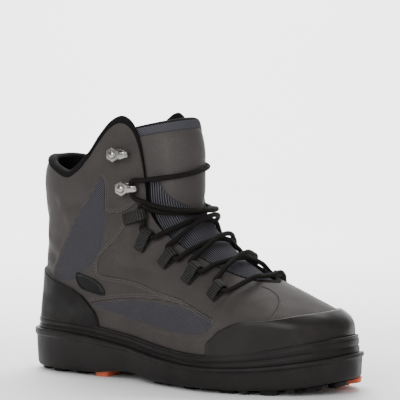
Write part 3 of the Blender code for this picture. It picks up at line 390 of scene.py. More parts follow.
# %% [markdown]
# ## Finishes
#
# A photograph could be wrapped round the boot as a texture, but it would bring its own light and blur with
# it. Here a material is a Principled shader with small patterns in front of it: its colour varies a little
# from place to place, and fine relief is bump, which costs no faces. A tiny class keeps the node code short,
# and every fixed number sits on the shader's own socket.

# %% A short way to write materials
class Finish:
    """One Principled material and short words for the nodes in front of it."""

    def __init__(self, name, colour, roughness, **sockets):
        """A new material; other sockets are named with _ in place of a space."""
        self.material = bpy.data.materials.new(name)
        self.material.use_nodes = True
        self.tree = self.material.node_tree
        self.shader = self.tree.nodes["Principled BSDF"]
        self.put("Base Color", (*colour, 1.0))
        self.put("Roughness", roughness)
        for key, value in sockets.items():
            self.put(key.replace("_", " "), value)
        self.places = self.node("ShaderNodeTexCoord")

    def node(self, kind, inputs=None, **settings):
        """A new node with its settings and its inputs filled in."""
        made = self.tree.nodes.new(kind)
        for key, value in settings.items():
            setattr(made, key, value)
        for key, value in (inputs or {}).items():
            self.connect(value, made.inputs[key])
        return made

    def connect(self, value, socket):
        """A link where the value is another node's socket, else a fixed value on this one."""
        if isinstance(value, bpy.types.NodeSocket):
            self.tree.links.new(value, socket)
        else:
            socket.default_value = value

    def put(self, key, value):
        """A value or a link for one of the shader's own sockets."""
        self.connect(value, self.shader.inputs[key])

    def math(self, operation, *values):
        """One step of arithmetic on values or sockets."""
        made = self.node("ShaderNodeMath", operation=operation)
        for socket, value in zip(made.inputs, values):
            self.connect(value, socket)
        return made.outputs[0]

    def noise(self, scale, detail=2.0, roughness=0.5):
        """Noise on Object coordinates, with a scale in waves per metre."""
        return self.node("ShaderNodeTexNoise", {"Vector": self.places.outputs["Object"], "Scale": scale,
                                                "Detail": detail, "Roughness": roughness}).outputs["Fac"]

    def layer(self, name):
        """The values that a mesh carries under this name."""
        return self.node("ShaderNodeAttribute", attribute_name=name).outputs["Fac"]

    def ramp(self, value, low, high, to_low=0.0, to_high=1.0):
        """Smooth step of a value from low to high."""
        return self.node("ShaderNodeMapRange", {"Value": value, "From Min": low, "From Max": high,
                                                "To Min": to_low, "To Max": to_high},
                         interpolation_type="SMOOTHSTEP").outputs["Result"]

    def mix(self, share, first, second):
        """Colour between two, by a share."""
        made = self.node("ShaderNodeMix", data_type="RGBA")
        self.connect(share, made.inputs[0])
        for socket, value in ((made.inputs[6], first), (made.inputs[7], second)):
            self.connect((*value, 1.0) if isinstance(value, tuple) and len(value) == 3 else value, socket)
        return made.outputs[2]

    def bump(self, height, distance, strength):
        """Relief in the shading alone: a height from 0 to 1 stands for a distance in metres."""
        made = self.node("ShaderNodeBump", {"Height": height, "Distance": distance, "Strength": strength})
        self.put("Normal", made.outputs["Normal"])


print("finishes are made with", Finish.__name__)

# %% [markdown]
# Synthetic leather has a fine pebble grain, finer than a millimetre. The woven panels are a coarse blue-grey
# weave. They could be pieces of their own, but their edges would have to meet without a gap, so one material
# holds both. An attribute says how far a point lies inside a woven panel, in millimetres, and others say how
# far the next seam is, where a dark edging runs, and where the weave has ribs only.

# %% Leather and weave
LEATHER_DARK, LEATHER_LIGHT = (0.0400, 0.0358, 0.0342), (0.0500, 0.0447, 0.0428)
THREAD_TOP, THREAD_HOLLOW = (0.070, 0.067, 0.077), (0.0095, 0.0092, 0.0115)
EDGING_BLACK = (0.006, 0.006, 0.0062)
WEAVE_PITCH, GRAIN_SCALE, FINE_SCALE = 1.9 * MM, 1150.0, 900.0
# The last of these darkens the colour along seams: painted shade in their grooves.
GRAIN_SHADE, RIB_SHADE, SEAM_PAINTED_SHADE = 0.86, 0.72, 0.45
THREAD_RELIEF, SEAM_RELIEF, PANEL_BUMP = 2.6, 1.5, 0.00016


def shaded(colour, share):
    """The colour times a share."""
    return tuple(v * share for v in colour)


print("a thread every", WEAVE_PITCH / 2 / MM, "mm")

# %% Relief of weave and grain
def weave_height(f, pitch, ribbed=None):
    """Product of two sines over the UV map, which is in metres: threads over and under each other. Where
    ribbed is 1 the upright sine takes its place."""
    uv = f.node("ShaderNodeSeparateXYZ", {"Vector": f.places.outputs["UV"]})
    waves = [f.math("SINE", f.math("MULTIPLY", uv.outputs[k], 2 * math.pi / pitch)) for k in (0, 1)]
    crossed = f.math("MULTIPLY_ADD", f.math("MULTIPLY", *waves), 0.5, 0.5)
    if ribbed is None:
        return crossed
    upright = f.math("MULTIPLY_ADD", waves[0], 0.5, 0.5)
    return f.math("ADD", f.math("MULTIPLY", crossed, f.math("SUBTRACT", 1.0, ribbed)),
                  f.math("MULTIPLY", upright, ribbed))


def leather_height(f):
    """Fine cells with a slower swell under them, the relief of a pebbled grain."""
    cells = f.node("ShaderNodeTexVoronoi", {"Vector": f.places.outputs["Object"], "Scale": GRAIN_SCALE})
    return f.math("ADD", f.math("MULTIPLY", cells.outputs["Distance"], 0.5), f.noise(FINE_SCALE))


print("grain cells to the metre:", GRAIN_SCALE)

# %% Finish of the panels
def panel_finish(name, dark, light, thread_top, pitch):
    """Leather mixed with weave by a smooth step of the attribute woven at 0, with painted shade near a seam,
    where the attribute seam falls below 0.6 mm, and black where the attribute rim is above 0."""
    f = Finish(name, light, 0.6, Specular_IOR_Level=0.07)
    woven = f.ramp(f.layer("woven"), -0.2, 0.2)
    seam = f.ramp(f.math("ABSOLUTE", f.layer("seam")), 0.1, 0.6)
    patches = f.ramp(f.noise(28.0, 3.0), 0.3, 0.7)
    grain = leather_height(f)
    leather = f.mix(f.ramp(grain, 0.2, 1.0), shaded(dark, GRAIN_SHADE), f.mix(patches, dark, light))
    ribbed = f.layer("ribbed")
    threads = weave_height(f, pitch, ribbed)
    top = f.mix(ribbed, thread_top, shaded(thread_top, RIB_SHADE))
    cloth = f.mix(f.ramp(threads, 0.25, 0.75), THREAD_HOLLOW, top)
    # Painted shade: the colour darkens towards the seams' grooves.
    colour = f.mix(seam, shaded(dark, SEAM_PAINTED_SHADE), f.mix(woven, leather, cloth))
    f.put("Base Color", f.mix(f.ramp(f.layer("rim"), -0.2, 0.2), colour, EDGING_BLACK))
    f.put("Roughness", f.ramp(woven, 0.0, 1.0, 0.52, 0.85))
    height = f.math("ADD", f.math("MULTIPLY", grain, f.math("SUBTRACT", 1.0, woven)),
                    f.math("MULTIPLY", f.math("MULTIPLY", threads, THREAD_RELIEF), woven))
    f.bump(f.math("ADD", height, f.math("MULTIPLY", seam, SEAM_RELIEF)), PANEL_BUMP, 0.85)
    return f.material


SHELL = panel_finish("boot_shell", LEATHER_DARK, LEATHER_LIGHT, THREAD_TOP, WEAVE_PITCH)
print("made the finish", SHELL.name)

# %% [markdown]
# Rubber is moulded: nearly smooth, with a fine grain and a broad soft highlight. Lace, lining and thread are
# woven, webbing is tape with ribs across it, and the hooks are bright plated steel. Rubber and weave each
# come in several colours, so their recipes are functions of the colours.

# %% Finishes of rubber, cloth and metal
def rubber_finish(name, dark, light, roughness, grain=700.0, depth=0.00007):
    """Two close tones mixed by slow noise, roughness that varies about its value, and a fine grain."""
    f = Finish(name, dark, roughness, Specular_IOR_Level=0.14)
    slow = f.ramp(f.noise(35.0, 4.0, 0.6), 0.32, 0.68)
    f.put("Base Color", f.mix(slow, dark, light))
    f.put("Roughness", f.ramp(f.noise(60.0, 3.0), 0.3, 0.7, roughness - 0.06, roughness + 0.08))
    f.bump(f.noise(grain, 3.0, 0.6), depth, 0.7)
    return f.material


def woven_finish(name, dark, light, pitch, depth, roughness=0.85):
    """From dark hollows to light thread tops by a smooth step of the weave's height on the UV map."""
    f = Finish(name, dark, roughness, Specular_IOR_Level=0.06)
    threads = weave_height(f, pitch)
    f.put("Base Color", f.mix(f.ramp(threads, 0.2, 0.8), dark, light))
    f.bump(f.math("ADD", threads, f.math("MULTIPLY", f.noise(FINE_SCALE), 0.4)), depth, 0.9)
    return f.material


def tape_finish():
    """Ribbed webbing, dark between its ribs, with a painted highlight on each rib's top: the attribute rib is
    1 on a rib's top and 0 between ribs.
    """
    f = Finish("loop_tape", (0.010, 0.010, 0.010), 0.7, Specular_IOR_Level=0.2)
    # rib is the share of painted highlight: a lighter colour on the rib tops, broken up by noise.
    rib = f.math("MULTIPLY", f.ramp(f.layer("rib"), 0.45, 0.95), f.ramp(f.noise(700.0), 0.25, 0.6))
    f.put("Base Color", f.mix(rib, (0.0045, 0.0043, 0.0041), (0.0300, 0.0285, 0.0270)))
    f.bump(f.math("ADD", weave_height(f, 0.8 * MM), f.noise(FINE_SCALE)), 0.00008, 0.8)
    return f.material


def nickel_finish():
    """Bright plate: metal with slow patches of roughness."""
    f = Finish("hook_nickel", (0.33, 0.32, 0.305), 0.2, Metallic=1.0)
    f.put("Roughness", f.ramp(f.noise(300.0, 3.0), 0.3, 0.7, 0.14, 0.30))
    f.bump(f.noise(1500.0), 0.00001, 0.5)
    return f.material


print("recipes:", [recipe.__name__ for recipe in (rubber_finish, woven_finish, tape_finish, nickel_finish)])

# %% The boot's finishes
SOLE_RUBBER = rubber_finish("sole_rubber", (0.0075, 0.0065, 0.0062), (0.0115, 0.0100, 0.0095), 0.48)
CAP_RUBBER = rubber_finish("cap_rubber", (0.0115, 0.0100, 0.0095), (0.0165, 0.0145, 0.0138), 0.38,
                           grain=900.0, depth=0.00006)
COUNTER_RUBBER = rubber_finish("counter_rubber", (0.0045, 0.0038, 0.0036), (0.0075, 0.0065, 0.0062), 0.55)
ORANGE_RUBBER = rubber_finish("orange_rubber", (0.56, 0.115, 0.055), (0.68, 0.160, 0.080), 0.45)
LABEL_RUBBER = rubber_finish("label_rubber", (0.006, 0.006, 0.006), (0.009, 0.009, 0.009), 0.38)
CORD = woven_finish("lace_cord", (0.0040, 0.0038, 0.0034), (0.0175, 0.0162, 0.0145), 1.3 * MM, 0.00025, 0.75)
LINING = woven_finish("collar_lining", (0.0040, 0.0038, 0.0038), (0.0110, 0.0105, 0.0105), 1.2 * MM, 0.00015)
THREAD = woven_finish("stitch_thread", (0.060, 0.055, 0.053), (0.120, 0.112, 0.108), 0.5 * MM, 0.00008, 0.7)
TAPE, NICKEL = tape_finish(), nickel_finish()
print("finishes:", len(bpy.data.materials))

# %% [markdown]
# ## Where the panels lie
#
# The upper is cut from panels that are sewn together. A mesh could be cut along their edges, but then its
# rows would have to follow every edge. Here an outline is a short list of places: an angle as a share of a
# half turn, and a height in millimetres, read off the outer side and repeated on the inner one. A smooth
# curve through the places becomes a distance at every grid point, which relief and colours then follow.

# %% Panel outlines
REAR_WEAVE = ((0.543, 170.2), (0.514, 159.8), (0.489, 151.0), (0.431, 139.2), (0.364, 126.0), (0.294, 109.8),
              (0.244, 95.2), (0.210, 85.2), (0.235, 80.8), (0.281, 81.0), (0.317, 85.2), (0.356, 92.0),
              (0.404, 102.0), (0.449, 113.5), (0.487, 124.5), (0.532, 139.0), (0.557, 156.0), (0.557, 167.8))
MID_WEAVE = ((0.325, 62.8), (0.353, 65.0), (0.388, 67.2), (0.419, 68.5), (0.449, 68.8), (0.474, 68.2),
             (0.500, 65.8), (0.523, 63.0), (0.519, 59.0), (0.500, 51.5), (0.490, 46.8), (0.472, 46.2),
             (0.443, 48.2), (0.410, 50.5), (0.376, 54.5), (0.349, 58.5), (0.329, 60.8))
FLAP_SEAM = ((0.545, 172.0), (0.556, 165.0), (0.551, 152.0), (0.540, 141.5), (0.575, 140.5), (0.611, 142.0),
             (0.651, 145.6), (0.700, 151.5))
EYESTAY_SEAM = ((0.668, 142.5), (0.621, 134.0), (0.550, 124.5), (0.487, 115.5), (0.449, 108.5),
                (0.419, 102.3), (0.396, 94.5), (0.392, 88.6), (0.417, 87.0), (0.443, 86.2), (0.467, 83.5),
                (0.482, 79.0), (0.500, 75.0), (0.517, 70.5), (0.524, 65.5), (0.530, 60.0))
SADDLE_SEAM = ((0.318, 64.0), (0.344, 66.2), (0.381, 68.8), (0.414, 70.4), (0.446, 71.5), (0.472, 71.5),
               (0.492, 70.2), (0.505, 68.3))
VAMP_SEAM = ((0.864, 84.7), (0.875, 82.5), (0.860, 78.2), (0.829, 74.3), (0.782, 69.5), (0.724, 63.8))
WING_SEAM = ((0.532, 64.5), (0.586, 68.8), (0.658, 75.3), (0.715, 80.5))
print("rear panel places:", len(REAR_WEAVE))

# %% Curves and distances
def curve_places(places, steps=6, closed=False):
    """A smooth curve through (share, mm) places, with a few points between each two."""
    places = np.array(places, float)
    if closed:
        places = np.concatenate([places[-2:], places, places[:3]])
    table = np.column_stack([np.arange(len(places)), places])
    ends = (2, len(places) - 3) if closed else (0, len(places) - 1)
    at = np.linspace(*ends, (ends[1] - ends[0]) * steps + 1)
    return np.stack([smooth(table, at, 1), smooth(table, at, 2)], -1)


def distance_to(curve, points):
    """Shortest distance, in millimetres, from each point to a curve's pieces laid on the upper: the length
    of what is left of (point - start) once its share along the piece is taken off."""
    line = body(curve[:, 0] * math.pi, curve[:, 1] * MM)
    best = np.full(points.shape[:-1], np.inf)
    for a, b in zip(line[:-1], line[1:]):
        along = b - a
        t = np.clip(((points - a) @ along) / max(along @ along, 1e-12), 0.0, 1.0)
        best = np.minimum(best, np.linalg.norm(points - a - t[..., None] * along, axis=-1))
    return best / MM


def is_inside(curve, share, height):
    """Counts how often a level ray from each place crosses a closed curve: odd is inside."""
    crossings = np.zeros(share.shape, int)
    for (x0, y0), (x1, y1) in zip(curve[:-1], curve[1:]):
        spans = (y0 > height) != (y1 > height)
        slope = (x1 - x0) / (y1 - y0 if y1 != y0 else 1e-9)
        crossings += spans & (share < x0 + (height - y0) * slope)
    return crossings % 2 == 1


print("points on the flap's seam:", len(curve_places(FLAP_SEAM)))

# %% [markdown]
# ## The upper's shell
#
# From outside the upper is one skin from the sole's band up to the collar. It could be sculpted from a ball,
# but as one grid over the last it keeps the solid's outline. Its columns are closer on the outer side, which
# the photograph shows. Woven panels lie half a millimetre lower than the leather round them, seams are
# shallow grooves, and creases are soft troughs laid where the boot bends.

# %% Shell grid
SHELL_ROWS, OUTER_COLUMNS, INNER_COLUMNS = 168, 340, 240
TUCKED = 0.002
CREASES = (
    # from         to           width, depth, mm
    (0.79, 74.0, 0.93, 70.0, 6.0, 0.10), (0.70, 70.0, 0.86, 64.5, 6.0, 0.12),
    (0.58, 118.0, 0.50, 106.0, 4.0, 0.60), (0.61, 128.0, 0.54, 116.0, 3.0, 0.45),
    (0.46, 98.0, 0.54, 94.0, 4.5, 0.45), (0.55, 84.0, 0.60, 72.0, 5.0, 0.30),
    (0.66, 78.0, 0.70, 66.0, 5.0, 0.18), (0.20, 118.0, 0.32, 128.0, 5.0, 0.45),
    (0.13, 108.0, 0.22, 100.0, 5.0, 0.50), (0.40, 146.0, 0.50, 152.0, 5.0, 0.45),
    (0.17, 140.0, 0.30, 147.0, 5.0, 0.40), (0.06, 128.0, 0.16, 134.0, 5.0, 0.35),
)


def edge_place(share_along, column):
    """A column of TOP_EDGE at a share of the way from the back to the throat's end."""
    rows = np.column_stack([np.arange(len(TOP_EDGE)), TOP_EDGE])
    return smooth(rows, np.asarray(share_along) * (len(TOP_EDGE) - 1), column + 1)


def both_sides(outer, inner):
    """Places along the outer side and back along the inner one: shares 0 to 1, and the side's sign."""
    one, two = np.linspace(0, 1, outer, endpoint=False), np.linspace(1, 0, inner, endpoint=False)
    return np.concatenate([one, two]), np.concatenate([np.ones(outer), -np.ones(inner)])


def shell_places(share, along, sign):
    """Angle and height of the grid: straight from the foot's angle and the rim to the top edge's."""
    foot, edge, height = (edge_place(along, k) for k in range(3))
    stations = outline(foot_turn(foot * math.pi))[:, 0]
    low = rim_top(stations) - TUCKED
    angle = (foot + (edge - foot) * share) * math.pi
    z = low + (height * SHAFT_HEIGHT - low) * share
    return np.where(sign > 0, angle, 2 * math.pi - angle), z


along, sign = both_sides(OUTER_COLUMNS, INNER_COLUMNS)
share_up = np.linspace(0.0, 1.0, SHELL_ROWS)[:, None]
shell_angle, shell_z = shell_places(share_up, along, sign)
folded = np.where(shell_angle > math.pi, 2 * math.pi - shell_angle, shell_angle)
folded_points = body(folded, shell_z)
print("shell grid:", shell_angle.shape)

# %% Shell relief
WEAVE_SINK, SEAM_SINK, SEAM_HALF = 0.55, 0.32, 0.8
EDGE_ROLL, EDGE_ROLL_AT, EDGE_ROLL_HALF = 0.35, 2.4, 1.5
TROUGH, RIDGE, RIDGE_AT = 1.4, 0.7, 1.7
FAR = 99.0

woven = np.full(shell_z.shape, -FAR)
for panel in (REAR_WEAVE, MID_WEAVE):
    curve = curve_places(panel, closed=True)
    gap_to = distance_to(curve, folded_points)
    woven = np.maximum(woven, np.where(is_inside(curve, folded / math.pi, shell_z / MM), gap_to, -gap_to))
seam = np.full(shell_z.shape, FAR)
for line in (FLAP_SEAM, EYESTAY_SEAM, SADDLE_SEAM, VAMP_SEAM, WING_SEAM):
    seam = np.minimum(seam, distance_to(curve_places(line), folded_points))
relief = -WEAVE_SINK * between(woven, -0.9, 0.9) - SEAM_SINK * bell(seam, SEAM_HALF)
relief += EDGE_ROLL * bell(np.abs(woven) - EDGE_ROLL_AT, EDGE_ROLL_HALF) * (woven < 0)
for start_share, start_z, end_share, end_z, width, depth in CREASES:
    away = distance_to(np.array([[start_share, start_z], [end_share, end_z]]), folded_points)
    relief -= depth * (TROUGH * bell(away, width) - RIDGE * bell(away - RIDGE_AT * width, width))
print("relief, mm:", round(float(relief.min()), 2), "to", round(float(relief.max()), 2))

# %% Shell
shell_points = over(shell_angle, shell_z, relief * MM)
shell_layers = {"woven": woven, "seam": seam, "rim": np.full(seam.shape, -FAR), "ribbed": 0 * seam}
piece("upper_shell", shell_points, lattice(*shell_z.shape, ring=True), SHELL, "synthetic_leather", ("upper",),
      hint=facing(shell_angle, shell_z), uv=shell_points[..., [0, 2]], layers=shell_layers)

# %% [markdown]
# ## Collar: binding and lining
#
# On the boot a padded lining is turned over the top edge and held by a black binding. A bevel on the wall's
# edge would round it, but evenly all along. The binding is a strip of its own, with a half round laid over
# the edge as its section, so it can grow thicker where the padding does. The lining is a second grid inside
# the wall.

# %% Wall and binding
ROLL_HEIGHT, RIM_STEP = 0.0032, 3
PAD_FROM, PAD_UNTIL = (0.66, 0.86), (0.50, 0.60)
PROUD_LOW, PROUD_FROM = 0.3, (0.56, 0.66)
NARROW_BACK, WIDE_FROM = 0.40, (0.12, 0.26)
BINDING_SECTION = ((-1.0, -0.4), (-1.0, 0.55), (-0.85, 0.95), (-0.45, 1.0))
BINDING_DROPS, BINDING_HEART, BINDING_STEP = (0.003, 0.006), 0.002, 1.3 * MM


def wall_at(along, share):
    """Thickness of the wall: the plain wall, and the collar's padding towards the back and the top."""
    pad = between(share, *PAD_FROM) * (1.0 - between(edge_place(along, 1), *PAD_UNTIL))
    return WALL + (COLLAR_PAD - WALL) * pad


def binding_rows(edge, out, up, wall, along):
    """Rows of the strip from its outer edge over the wall to inside: short rises on the outside, then half
    an ellipse over the wall's edge, then two drops along its inside."""
    level = edge[:, 2] / SHAFT_HEIGHT
    proud = ((PROUD_LOW + (1.0 - PROUD_LOW) * between(level, *PROUD_FROM)) * MM)[:, None]
    width = BINDING_WIDTH * (NARROW_BACK + (1.0 - NARROW_BACK) * between(along, *WIDE_FROM))[:, None]
    middle, reach = edge - out * (wall - proud) / 2, (wall + proud) / 2
    outside = [edge + up * width * rise + out * lift * proud for rise, lift in BINDING_SECTION]
    roll = [middle + out * reach * math.cos(turn) + up * np.minimum(reach, ROLL_HEIGHT) * math.sin(turn)
            for turn in np.linspace(0.0, math.pi, 15)]
    inside = [edge - up * drop - out * wall for drop in BINDING_DROPS]
    return np.array(outside + roll + inside)


rim_point, rim_out = body(shell_angle[-1], shell_z[-1]), facing(shell_angle[-1], shell_z[-1])
rim_up = unit(rim_point - body(shell_angle[-1 - RIM_STEP], shell_z[-1 - RIM_STEP]))
rim_wall = wall_at(along, np.ones_like(along))[:, None]
binding = binding_rows(rim_point, rim_out, rim_up, rim_wall, along)
binding_hint = unit(binding - (rim_point - rim_out * rim_wall / 2 - rim_up * BINDING_HEART))
binding_uv = np.stack([np.cumsum(np.ones_like(binding[..., 0]), 1) * BINDING_STEP,
                       run_length(binding, 0)], -1)
piece("collar_binding", binding, lattice(*binding.shape[:2], ring=True), LINING, "lining",
      hint=binding_hint, uv=binding_uv)

# %% Lining
LINING_ROWS, LINING_TOP = 70, 0.985
lining_share = np.linspace(0.0, LINING_TOP, LINING_ROWS)[:, None]
lining_angle, lining_z = shell_places(lining_share, along, sign)
lining_points = over(lining_angle, lining_z, -wall_at(along, lining_share))
lining_uv = np.stack([run_length(lining_points, 1)[LINING_ROWS // 2][None] + 0 * lining_z,
                      run_length(lining_points, 0)], -1)
padding = piece("collar_padding", lining_points, lattice(*lining_z.shape, ring=True), LINING, "lining",
                hint=-facing(lining_angle, lining_z), uv=lining_uv)

# %% [markdown]
# ## Tongue
#
# The tongue is a padded flap under the lace. Its outside has a woven band along the top, a leather panel
# that ends below in a round tip, and round that tip a field of ribbed weave. It could be a sheet made
# thick by a modifier, but its edges have to lie under the throat's and its middle has to swell out. So its
# face follows the last at a height of its own, and front and back are one closed grid.

# %% Tongue's height over the last
TONGUE_ROWS, TONGUE_COLUMNS = 200, 150
TONGUE_SPREAD = np.array([
    # level  half spread
    [0.355, 0.150], [0.400, 0.200], [0.460, 0.265], [0.540, 0.315], [0.640, 0.335], [0.800, 0.335],
    [1.000, 0.320],
])
TONGUE_TOP, TONGUE_ARC, TONGUE_ROUND_FROM, THROAT_ROW = 0.998, 0.035, 0.2, 10
FREE_FROM_EDGE, OUT_OF_VAMP = (0.012, 0.142), (0.42, 0.52)
SWELL_RISES, LEAN_GROWS = (0.50, 0.62), (0.84, 1.04)


def throat_half(level):
    """Half spread of the throat at a level, as a share of a half turn."""
    rows = TOP_EDGE[THROAT_ROW:][::-1]
    return 1.0 - smooth(np.column_stack([rows[:, 2], rows[:, 1]]), level, 1)


def tongue_lift(angle, z):
    """How far the tongue's face lies outside the upper's: under the wall beside the throat, and from there
    by smooth steps, inwards and upwards, to a swell that leans back at the top."""
    level = z / SHAFT_HEIGHT
    free = between(throat_half(level) - np.abs(angle / math.pi - 1.0), *FREE_FROM_EDGE)
    deep = -(WALL + GAP * 2)
    swell = TONGUE_SWELL * between(level, *SWELL_RISES) - TONGUE_LEAN * between(level, *LEAN_GROWS)
    return deep + (swell - deep) * free * between(level, *OUT_OF_VAMP)


across = np.linspace(-1.0, 1.0, TONGUE_COLUMNS)[None, :]
up = np.linspace(0.0, 1.0, TONGUE_ROWS)[:, None]
tongue_top = (TONGUE_TOP - TONGUE_ARC * across ** 2
              - TONGUE_CORNER * between(across, TONGUE_ROUND_FROM, 1.0)) * SHAFT_HEIGHT
tongue_z = TONGUE_SPREAD[0, 0] * SHAFT_HEIGHT * (1.0 - up) + tongue_top * up
tongue_angle = (1.0 + across * smooth(TONGUE_SPREAD, tongue_z / SHAFT_HEIGHT, 1)) * math.pi
print("tongue's top, mm:", round(float(tongue_top.max()) * 1000, 1))

# %% [markdown]
# The panels of the tongue are drawn on its face unrolled, in millimetres: face_x runs across and face_z up.
# The leather's tip is a rounded outline, a sum of powers like an ellipse's. The band's seam is a narrow
# groove, the tip has a raised edge, the leather is puffed up, and soft troughs cross the tongue where the
# lace presses on it.

# %% Tongue's panels
TONGUE_UNROLLED = 125.0
BAND_DEEP, BAND_SEAM, EDGING = 9.0, 2.0, 1.8
TIP_HALF, TIP_TOP, TIP_DROP, TIP_SCALE = 27.0, 176.0, 33.0, 24.0
FIELD_TOP, RIBS_TOP, EDGING_FROM, EDGING_AT = 171.0, 190.0, 0.965, -31.4
TONGUE_TROUGHS, TROUGH_HALF, TROUGH_ARC = ((93.0, 1.3), (105.0, 1.5), (119.0, 1.6), (137.0, 1.6)), 3.2, 0.004
LEATHER_PUFF, BAND_NICK, TIP_ROLL = 1.6, 1.2, 0.7

top_gap = tongue_top - tongue_z
face_x, face_z = (tongue_angle / math.pi - 1.0) * TONGUE_UNROLLED, tongue_z / MM
band = BAND_DEEP - top_gap / MM
tip = TIP_SCALE * (1.0 - (np.abs(face_x / TIP_HALF) ** 1.6
                          + np.abs(np.minimum(face_z - TIP_TOP, 0.0) / TIP_DROP) ** 2) ** 0.55)
edging = np.maximum(EDGING - top_gap / MM, (np.abs(across) - EDGING_FROM) * 60.0 + 0 * up)
band_seam, tip_seam = np.abs(band), np.abs(tip - 0.4)
tongue_layers = {
    "woven": np.maximum(band, np.minimum(FIELD_TOP - face_z, -tip)),
    "rim": np.maximum(edging, np.where(face_z < FIELD_TOP, EDGING_AT - face_x, -FAR)),
    "seam": np.where(face_z < FIELD_TOP + 0.5, np.minimum(tip_seam, band_seam), band_seam),
    "ribbed": 1.0 - between(face_z, RIBS_TOP - 1.0, RIBS_TOP),
}
puff = LEATHER_PUFF * between(tip, -0.5, 6.0) - BAND_NICK * bell(band, BAND_SEAM)
puff += TIP_ROLL * bell(tip + 0.6, 0.8) * (1.0 - between(face_z, FIELD_TOP - 1.5, FIELD_TOP + 1.5))
for level, depth in TONGUE_TROUGHS:
    puff -= depth * bell(face_z - level + TROUGH_ARC * face_x ** 2, TROUGH_HALF)
print("tongue's puff, mm:", round(float(puff.min()), 2), "to", round(float(puff.max()), 2))

# %% Tongue
TONGUE = panel_finish("tongue_face", (0.052, 0.0470, 0.0455), (0.064, 0.0580, 0.0560),
                      (0.098, 0.098, 0.112), 1.5 * MM)
PUFF_SHARE, THIN_EDGE, THIN_FROM, ROUND_TOP, ROUND_SIDE, LEAST_ROUND = 0.7, 0.45, 0.75, 0.0026, 0.05, 0.02


def front_and_back(front, back):
    """The front's columns, then the back's in the other direction, which closes a ring."""
    return np.concatenate([front, back[:, ::-1]], 1)


rounding = quarter_round(top_gap, ROUND_TOP) * quarter_round(1.0 - np.abs(across), ROUND_SIDE)
taper = 1.0 - THIN_EDGE * between(np.abs(across), THIN_FROM, 1.0)
middle_lift = tongue_lift(tongue_angle, tongue_z) - TONGUE_THICKNESS * taper / 2
half = TONGUE_THICKNESS * taper / 2 * np.maximum(rounding, LEAST_ROUND)
front = over(tongue_angle, tongue_z, middle_lift + half + puff * MM * PUFF_SHARE * rounding)
tongue_ring = front_and_back(front, over(tongue_angle, tongue_z, middle_lift - half))
tongue_out = facing(tongue_angle, tongue_z)
tongue_uv = np.stack([front_and_back(face_x, face_x), front_and_back(face_z, face_z)], -1) * MM
tongue_layers = {key: front_and_back(values, values) for key, values in tongue_layers.items()}
tongue = piece("tongue_pad", tongue_ring, tube(*tongue_ring.shape[:2]), TONGUE, "synthetic_leather",
               ("tongue",), hint=front_and_back(tongue_out, -tongue_out), uv=tongue_uv, layers=tongue_layers)

# %% [markdown]
# ## Toe cap and heel counter
#
# Both are rubber sheets laid over the leather from the band up, against stones and scuffs. Cut out of the
# upper's own grid they would have its rows' edges. So each is a grid of its own between the band's rim and
# its drawn edge, and near the edges its lift falls along a quarter circle, which is how a moulded lip looks.

# %% Rubber overlays
TOE_CAP_EDGE = np.array([
    # angle  height
    [0.494, 0.177], [0.499, 0.200], [0.511, 0.2235], [0.529, 0.238], [0.585, 0.263],
    [0.665, 0.272], [0.729, 0.279], [0.803, 0.288], [0.881, 0.2935], [1.000, 0.297]])
COUNTER_EDGE = np.array([
    # angle  height
    [0.000, 0.4070], [0.100, 0.3960], [0.192, 0.3715], [0.254, 0.3476],
    [0.292, 0.3250], [0.311, 0.2957], [0.318, 0.2600], [0.321, 0.2300]])
OVERLAY_LIP, OVERLAY_SUNK, OVERLAY_ADDED = 2.2 * MM, 0.0004, 0.0012
OVERLAY_TUCKED, OVERLAY_LEAST, CLOSER_ABOVE = 1.0 * MM, 3.0 * MM, 0.85


def overlay(name, table, at_toe, columns, rows, finish, node):
    """A grid from the band to the table's edge, and its mirror image. Its lift follows a quarter circle
    over the distance from the upper edge or an end, up to the lip's width."""
    span = np.linspace(table[0, 0], table[-1, 0], columns)
    edge = smooth(table, span, 1) * SHAFT_HEIGHT
    if at_toe:
        shares, edge = np.concatenate([span, 2.0 - span[-2::-1]]), np.concatenate([edge, edge[-2::-1]])
    else:
        shares, edge = np.concatenate([-span[:0:-1], span]), np.concatenate([edge[:0:-1], edge])
    angle = shares * math.pi
    heel, toe = (float(body(end, rim_top(0.0))[0]) for end in (0.0, math.pi))
    stations = HEEL_END + (body(angle, rim_top(0.0))[:, 0] - heel) / (toe - heel) * LENGTH
    low = rim_top(stations) - OVERLAY_TUCKED
    high = np.maximum(edge, low + OVERLAY_LEAST)
    z = low + (high - low) * np.linspace(0.0, 1.0, rows)[:, None] ** CLOSER_ABOVE
    angle = np.broadcast_to(angle, z.shape)
    points = body(angle, z)
    inset = np.minimum(run_length(points, 0)[-1:] - run_length(points, 0),
                       np.minimum(run_length(points, 1), run_length(points[:, ::-1], 1)[:, ::-1]))
    made = over(angle, z, (CAP_WALL + OVERLAY_ADDED) * quarter_round(inset, OVERLAY_LIP) - OVERLAY_SUNK)
    uv = np.stack([run_length(made, 1), run_length(made, 0)], -1)
    piece(name, made, lattice(*z.shape), finish, "black_rubber", (node,), hint=facing(angle, z), uv=uv)


overlay("toe_guard", TOE_CAP_EDGE, True, 150, 60, CAP_RUBBER, "toe_cap")
overlay("counter_guard", COUNTER_EDGE, False, 110, 70, COUNTER_RUBBER, "heel_counter")

# %% [markdown]
# ## The sole
#
# A band with two ridges joins the upper to a thick rubber outsole with a lip. Both could be cut from a block,
# but each is the same section all the way round, so each is a profile carried round the outline: at every
# turn it is set in along the outline's inward direction. The bottom is a grid of strips from side to side.

